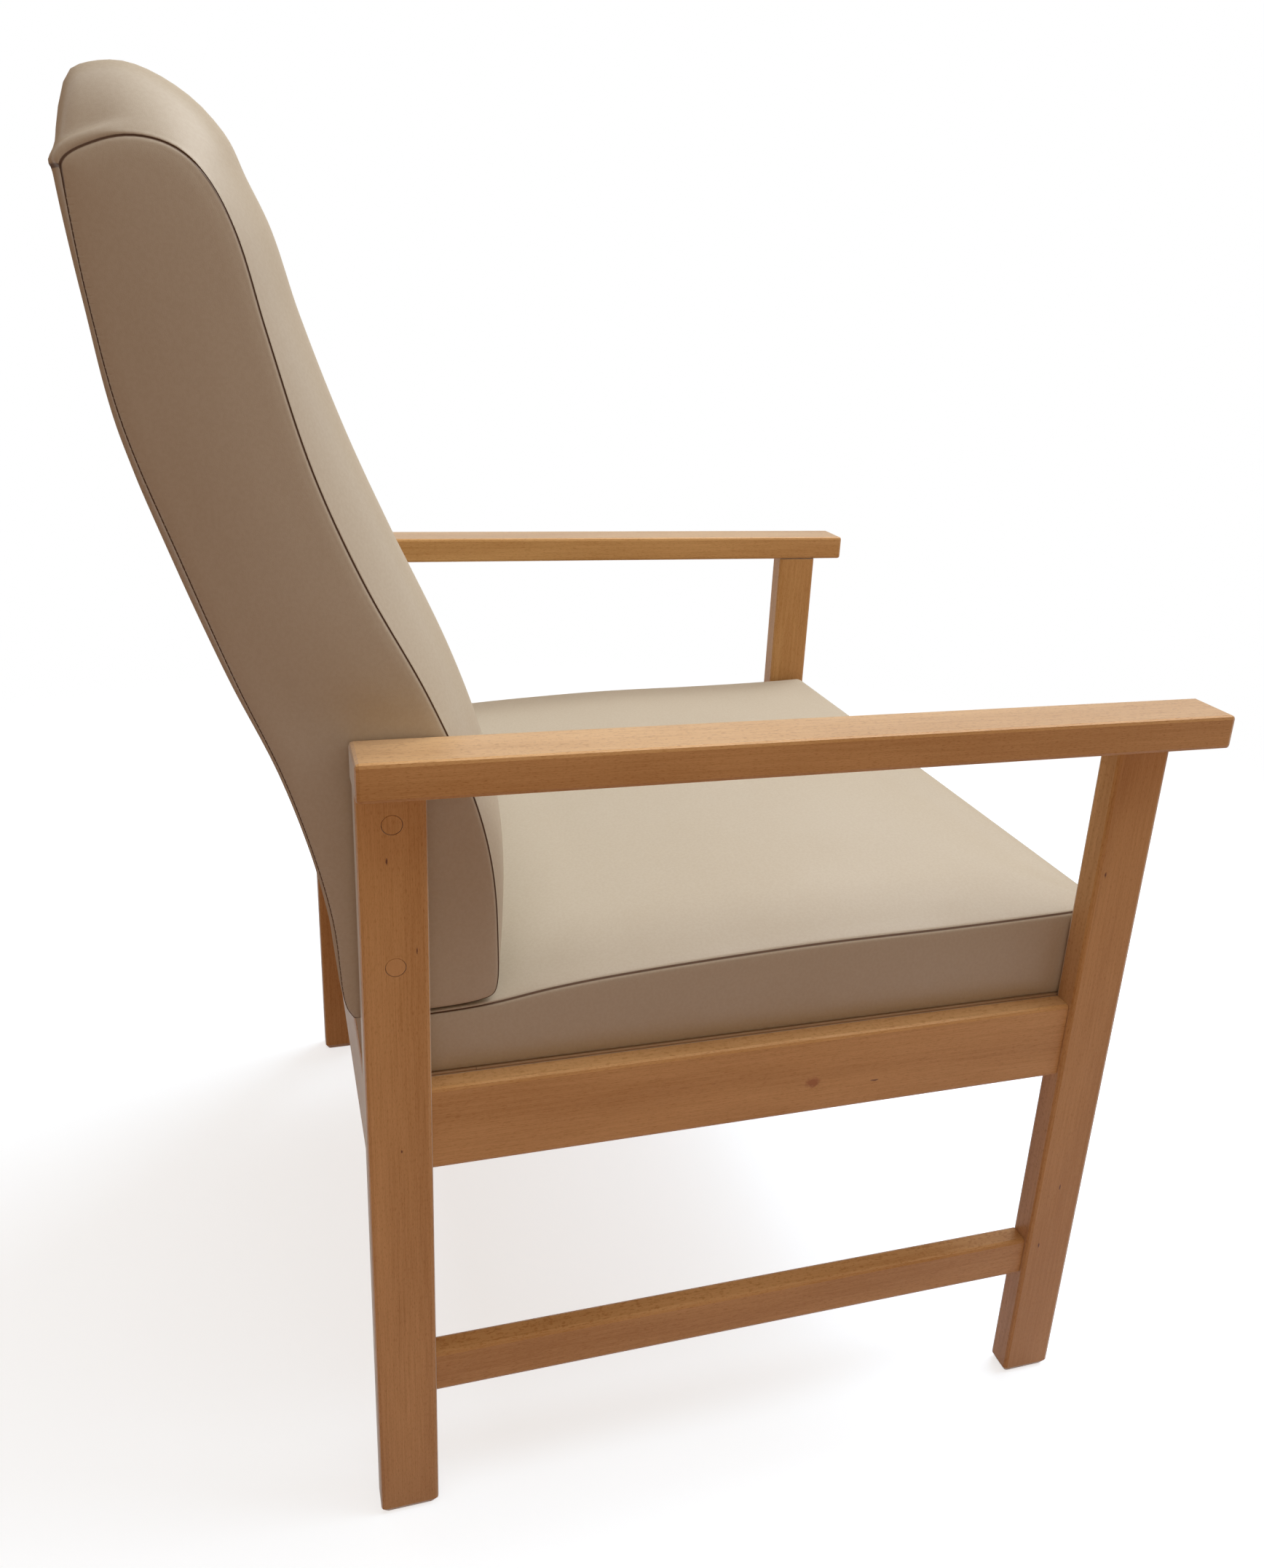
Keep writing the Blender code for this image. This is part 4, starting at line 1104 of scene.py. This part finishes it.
        clear = clear_of(points[flat, 2], self.arm_top, self.pillow_clear)
        bulge += self.pillow * clear * self.fullness(inset, self.pillow_width)
        points[flat, 0] = np.sign(x[flat]) * (plane + bulge)
        self.place(piece, points)
        self.turn_out(piece)
        seam = rim & ((self.layer == 0) | (self.layer == self.layers))
        self.swell_out(piece, points, seam)
        self.tuck(piece, seam)
        self.mark_seams(piece, seam, edges)
        self.finish(piece, finish, "back_cover", "back_foam")
        return piece

    def fullness(self, depth: np.ndarray, roll: np.ndarray | float) -> np.ndarray:
        """Share of its proudness that a panel has at a depth in from the gusset."""
        return np.sin(math.pi / 2 * np.clip(depth / roll, 0, 1)) ** self.roll_power

    def crest(self, edges: dict[str, np.ndarray], start: float, end: float) -> np.ndarray:
        """A share for the top panel that dies out along it, away from the seam behind the head.

        Args:
            edges: The outline's sides.
            start: How far along the panel the share starts to fall.
            end: Where it is gone.

        Returns:
            The share at every point, of zero off the top panel.
        """
        crest = self.rim() & (self.row == self.rows)
        past = self.length(edges["top"])[np.where(crest, self.column, 0)]
        return crest * (1 - smooth((past - start) / (end - start)))

    def head_fold(self, edges: dict[str, np.ndarray], depth: np.ndarray) -> np.ndarray:
        """How far the top panel's end follows the rear panel, where they are sewn together behind the head.

        Args:
            edges: The outline's sides.
            depth: Depth of every point in from its gusset.

        Returns:
            The (y, z) move of every point.
        """
        share = self.crest(edges, self.fold, self.fold_end)
        proud, way = edges["rear"][-1, 2], edges["rear"][-1, 3:]
        return (share * proud * self.fullness(depth, self.rear_roll_width))[:, None] * way

    def head_welt(self, edges: dict[str, np.ndarray]) -> np.ndarray:
        """How much of a soft roll each point's stretch of the top panel has beside the gusset."""
        return self.crest(edges, *self.welt_end)

    def head_roll(self, edges: dict[str, np.ndarray], depth: np.ndarray, welted: np.ndarray) -> np.ndarray:
        """How far that soft roll stands out of the top panel.

        Args:
            edges: The outline's sides.
            depth: Depth of every point in from its gusset.
            welted: Share of the roll at every point.

        Returns:
            The (y, z) move of every point.
        """
        way = square_to(edges["top"])[self.column]
        past = self.length(edges["top"])[self.column]
        height = self.welt * quarter_round(past / self.welt) * quarter_round(depth / self.welt)
        fade = 1 - smooth((depth - self.crease) / (self.roll_width - self.crease))
        return (welted * height * fade)[:, None] * way

    def to_outline(self, places: np.ndarray, edges: dict[str, np.ndarray]) -> tuple[np.ndarray, np.ndarray]:
        """Distance of (y, z) places from the outline, and how far along it they are.

        Args:
            places: The places.
            edges: The outline's sides.

        Returns:
            The distances and the runs.
        """
        loop = np.vstack((edges["bottom"][:-1, :2], edges["front"][:-1, :2],
                          edges["top"][::-1][:-1, :2], edges["rear"][::-1][:, :2]))
        start, step = loop[:-1], np.diff(loop, axis=0)
        size = np.maximum(np.linalg.norm(step, axis=1), 1e-9)
        before = np.concatenate(([0.0], np.cumsum(size)))[:-1]
        away = places[:, None] - start[None]
        t = np.clip((away * step).sum(2) / size ** 2, 0, 1)
        gaps = np.linalg.norm(away - t[..., None] * step, axis=2)
        best = gaps.argmin(1)
        rows = np.arange(len(places))
        return gaps[rows, best], before[best] + t[rows, best] * size[best]

    def swell_out(self, piece: Piece, points: np.ndarray, seam: np.ndarray) -> None:
        """Fills the back, held at its seams and underneath, and clear of the arms and legs.

        Args:
            piece: The moulded back.
            points: Its points.
            seam: Which of them are on a seam.
        """
        rim = self.rim()
        above = clear_of(points[:, 2], self.arm_top, self.swell_clear)
        low = clear_of(points[:, 2], self.underside, self.panel_clear)
        reach = np.where(rim, self.panel_swell * low, self.swell * above)
        self.fill(piece, seam | (rim & (self.row == 0)), reach)

    def tuck(self, piece: Piece, seam: np.ndarray) -> None:
        """Draws the gussets' seams in.

        Args:
            piece: The filled back.
            seam: Which points are on the gussets' seams.
        """
        points = self.places(piece)
        points[seam, 0] -= np.sign(points[seam, 0]) * self.tuck_depth
        self.place(piece, points)

    def mark_seams(self, piece: Piece, seam: np.ndarray, edges: dict[str, np.ndarray]) -> None:
        """Finds each point's distance from the nearest seam and along it.

        Args:
            piece: The filled back.
            seam: Which points are on the gussets' seams.
            edges: The outline's sides.
        """
        points = self.places(piece)
        rim = self.rim()
        gap, run = self.to_outline(points[:, 1:], edges)
        spot = np.full((self.columns + 1, self.rows + 1, self.layers + 1), -1)
        spot[self.column[rim], self.row[rim], self.layer[rim]] = np.flatnonzero(rim)
        loops = spot[spot[..., 0] >= 0]
        steps = np.linalg.norm(np.diff(points[loops], axis=1), axis=2)
        along = np.hstack((np.zeros((len(loops), 1)), np.cumsum(steps, axis=1)))
        gap[loops] = np.minimum(along, along[:, -1:] - along)
        past, risen = self.length(edges["top"]), self.length(edges["rear"])
        from_ridge = np.where(self.row == self.rows, past[self.column], risen[-1] - risen[self.row])
        nearer = rim & ((self.row == self.rows) | (self.column == 0)) & (from_ridge < gap)
        gap[nearer] = from_ridge[nearer]
        run[nearer] = points[nearer, 0]
        ridge = rim & (self.row == self.rows) & (self.column == 0)
        behind = np.interp(points[:, 2], edges["rear"][:, 1], edges["rear"][:, 0]) - points[:, 1]
        stitched = (behind < self.stitch_reach) & (points[:, 2] < edges["rear"][-1, 1] - self.stitch_reach)
        self.sew(piece, seam | ridge, gap, run, stitched.astype(float))


@dataclass
class TimberFrame:
    """The beech side frames, rails and plugs, and the supports and fasteners that they hide."""

    beech: BeechFinish
    ply: PlyFinish
    steel: SteelFinish
    webbing: WebbingFinish
    plug: Timber = Timber(Board.UPRIGHT, 0.34, 0.10, 0.36)
    plug_deep: Colour = (0.62, 0.36, 0.15)
    plug_seed: int = 30
    rail_marks: tuple[Mark, ...] = (
        Mark((-0.365, -0.0912, 0.3645), (0.02, 0.0085, 0.0062), (0.43, 0.175, 0.055)),
        Mark((-0.365, -0.1476, 0.3586), (0.02, 0.0045, 0.0011)))
    rear_marks: tuple[Mark, ...] = (
        Mark((-0.370, 0.2433, 0.5940), (0.02, 0.0009, 0.0030)),
        Mark((-0.370, 0.2244, 0.5249), (0.02, 0.0007, 0.0034)),
        Mark((-0.370, 0.2385, 0.3595), (0.02, 0.0009, 0.0019)))
    front_marks: tuple[Mark, ...] = (
        Mark((-0.370, -0.3339, 0.5310), (0.02, 0.0014, 0.0034)),
        Mark((-0.370, -0.3493, 0.2158), (0.02, 0.0009, 0.0038)),
        Mark((-0.370, -0.3383, 0.1524), (0.02, 0.0010, 0.0036)))

    def timbers(self) -> dict[str, Timber]:
        """The look of each timber, by node, in the order that picks its stretch of figure."""
        return {
            "rear_leg_right": Timber(Board.UPRIGHT, 0.38, 0.20, 0.40, self.rear_marks),
            "front_leg_right": Timber(Board.UPRIGHT, 0.58, 0.12, 0.36, self.front_marks),
            "rear_leg_left": Timber(Board.UPRIGHT, 0.38, 0.16, 0.40),
            "front_leg_left": Timber(Board.UPRIGHT, 0.46, 0.20, 0.36),
            "armrest_right": Timber(Board.LENGTHWISE, 0.38, 0.10, 0.48),
            "armrest_left": Timber(Board.LENGTHWISE, 0.38, 0.10, 0.44),
            "side_rail_right": Timber(Board.LENGTHWISE, 0.35, 0.08, 0.40, self.rail_marks),
            "side_rail_left": Timber(Board.LENGTHWISE, 0.35, 0.08, 0.40),
            "side_stretcher_right": Timber(Board.LENGTHWISE, 0.50, 0.08, 0.46),
            "side_stretcher_left": Timber(Board.LENGTHWISE, 0.50, 0.08, 0.46),
            "front_rail": Timber(Board.CROSSWISE, 0.36, 0.10, 0.42),
            "rear_rail": Timber(Board.CROSSWISE, 0.36, 0.10, 0.42)}

    @staticmethod
    def named(prefix: str) -> list[str]:
        """The CAD nodes whose names start in one way."""
        return [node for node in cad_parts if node.startswith(prefix)]

    def dress(self) -> None:
        """Gives every timber its own stretch of figure, and the hidden pieces their finishes."""
        for seed, (node, timber) in enumerate(self.timbers().items(), 1):
            dress(self.beech.material(f"beech_{node}", timber, seed), node)
        paler = replace(self.beech, deep=self.plug_deep)
        for seed, node in enumerate(self.named("cover_plug"), self.plug_seed):
            finish = paler if "lower" in node else self.beech
            dress(finish.material(f"beech_{node}", self.plug, seed), node)
        for finish, prefixes in (
                (self.ply, ("seat_board", "seat_cleat", "corner_block", "back_side_panel", "back_bottom_rail",
                            "back_lumbar_rail", "back_top_rail")),
                (self.steel, ("seat_screw", "back_bolt", "tee_nut")),
                (self.webbing, ("back_webbing",))):
            material = finish.material(type(finish).__name__)
            for prefix in prefixes:
                dress(material, *self.named(prefix))


@dataclass(frozen=True)
class Lamp:
    """A soft box: where it hangs, what it faces, its size and its power."""

    name: str
    place: Point
    target: Point
    size: float
    power: float


@dataclass
class Studio:
    """The floor, the soft light and the camera."""

    lamps: tuple[Lamp, ...] = (
        Lamp("overhead", (0.0, -0.44, 4.41), (0.0, -0.1, 0.5), 4.4, 74.0),
        Lamp("front", (-0.48, -3.84, 3.64), (0.0, 0.0, 0.6), 3.2, 82.0),
        Lamp("far_side", (1.2, -1.6, 3.4), (0.0, -0.1, 0.5), 2.0, 46.0),
        Lamp("near_side", (-3.2, 0.4, 1.2), (0.0, 0.0, 0.6), 2.2, 6.2),
        Lamp("rear", (-1.5, 2.6, 1.6), (0.0, 0.0, 0.6), 1.8, 3.0),
    )
    ambient: Colour = (0.208, 0.084, 0.013)
    backdrop: Colour = (1.0, 1.0, 1.0)
    bounce: Colour = (0.50, 0.33, 0.30)
    floor: Colour = (0.62, 0.79, 0.95)
    floor_glow: float = 0.68
    floor_radius: float = 4.0
    floor_fade: tuple[float, float] = (0.9, 2.2)
    camera_place: Point = (-1.16922, 0.31684, 0.96165)
    yaw: float = -0.329083
    pitch: float = -0.367769
    roll: float = 0.057128
    focal: float = 1769.574
    centre: tuple[float, float] = (925.881, 1076.661)
    sensor: float = 36.0

    def build(self) -> None:
        """Makes the floor, the world, the lamps and the camera."""
        self.make_world()
        self.make_floor()
        for lamp in self.lamps:
            self.hang(lamp)
        self.make_camera()

    @staticmethod
    def shown(graph: Graph) -> Socket:
        """A factor of 1 for what the camera sees, directly, in a mirror or through glass.

        Args:
            graph: The tree that it goes into.

        Returns:
            The factor.
        """
        path = graph.add("LightPath").outputs
        seen = graph.math("MAXIMUM", path["Is Camera Ray"], path["Is Glossy Ray"])
        return graph.math("MAXIMUM", seen, path["Is Transmission Ray"])

    def make_world(self) -> None:
        """A white backdrop for the camera, and a dim warm room for the light."""
        world = bpy.data.worlds.new("studio")
        world.use_nodes = True
        bpy.context.scene.world = world
        graph = Graph(world.node_tree)
        sky = next(node for node in graph.tree.nodes if node.type == "BACKGROUND")
        graph.wire(sky, {"Color": graph.mix(self.shown(graph), self.ambient, self.backdrop)})

    def make_floor(self) -> None:
        """A pale round floor that takes the shadow and fades into the backdrop."""
        bpy.ops.object.select_all(action="DESELECT")
        bpy.ops.mesh.primitive_circle_add(vertices=96, radius=self.floor_radius, fill_type="NGON", location=(0, 0, 0))
        floor = bpy.context.active_object
        floor.name = "studio_floor"
        material, graph, shader = new_material("studio_floor")
        graph.wire(shader, {"Base Color": graph.mix(self.shown(graph), self.bounce, self.floor), "Roughness": 0.9,
                            "Specular IOR Level": 0.0})
        far = graph.vector("LENGTH", graph.place())
        glow = graph.add("Emission", {"Strength": graph.math("MULTIPLY", self.shown(graph), self.floor_glow)})
        pale = graph.add("AddShader", {0: shader.outputs[0], 1: glow.outputs[0]})
        clear = graph.add("BsdfTransparent")
        fade = graph.add("MixShader", {0: graph.ramp(far, *self.floor_fade), 1: pale.outputs[0], 2: clear.outputs[0]})
        output = next(node for node in graph.tree.nodes if node.type == "OUTPUT_MATERIAL")
        graph.wire(output, {"Surface": fade.outputs[0]})
        floor.data.materials.append(material)

    @staticmethod
    def hang(lamp: Lamp) -> None:
        """Hangs a soft box and turns it to its target.

        Args:
            lamp: The soft box.
        """
        data = bpy.data.lights.new(lamp.name, "AREA")
        data.energy, data.size = lamp.power, lamp.size
        box = bpy.data.objects.new(lamp.name, data)
        box.location = lamp.place
        box.rotation_euler = (Vector(lamp.target) - Vector(lamp.place)).to_track_quat("-Z", "Y").to_euler()
        bpy.context.collection.objects.link(box)

    def make_camera(self) -> None:
        """Stands the camera where the photograph was taken."""
        wide, high = PHOTO_SIZE
        data = bpy.data.cameras.new("camera")
        data.sensor_width = self.sensor
        data.lens = self.focal / max(wide, high) * data.sensor_width
        data.shift_x = (wide / 2 - self.centre[0]) / max(wide, high)
        data.shift_y = (self.centre[1] - high / 2) / max(wide, high)
        level = math.cos(self.pitch)
        ahead = Vector((level * math.cos(self.yaw), level * math.sin(self.yaw), math.sin(self.pitch)))
        side = ahead.cross(Vector((0, 0, 1))).normalized()
        rise = side.cross(ahead)
        right = math.cos(self.roll) * side + math.sin(self.roll) * rise
        up = right.cross(ahead)
        camera = bpy.data.objects.new("camera", data)
        camera.matrix_world = (Matrix.Translation(self.camera_place)
                               @ Matrix((right, up, -ahead)).transposed().to_4x4())
        bpy.context.collection.objects.link(camera)
        bpy.context.scene.camera = camera
        bpy.context.scene.view_settings.view_transform = "Standard"


def main() -> None:
    """Builds the dressed chair and its studio."""
    logging.basicConfig(level=logging.INFO, format="%(name)s: %(message)s")
    Studio().build()
    beech = BeechFinish(beech_group(), mark_group())
    TimberFrame(beech, PlyFinish(ply_group()), SteelFinish(), WebbingFinish()).dress()
    vinyl = VinylFinish(hide_group(), seam_shade_group())
    SeatCushion().build(vinyl)
    BackCushion().build(vinyl)


if __name__ == "__main__":
    main()
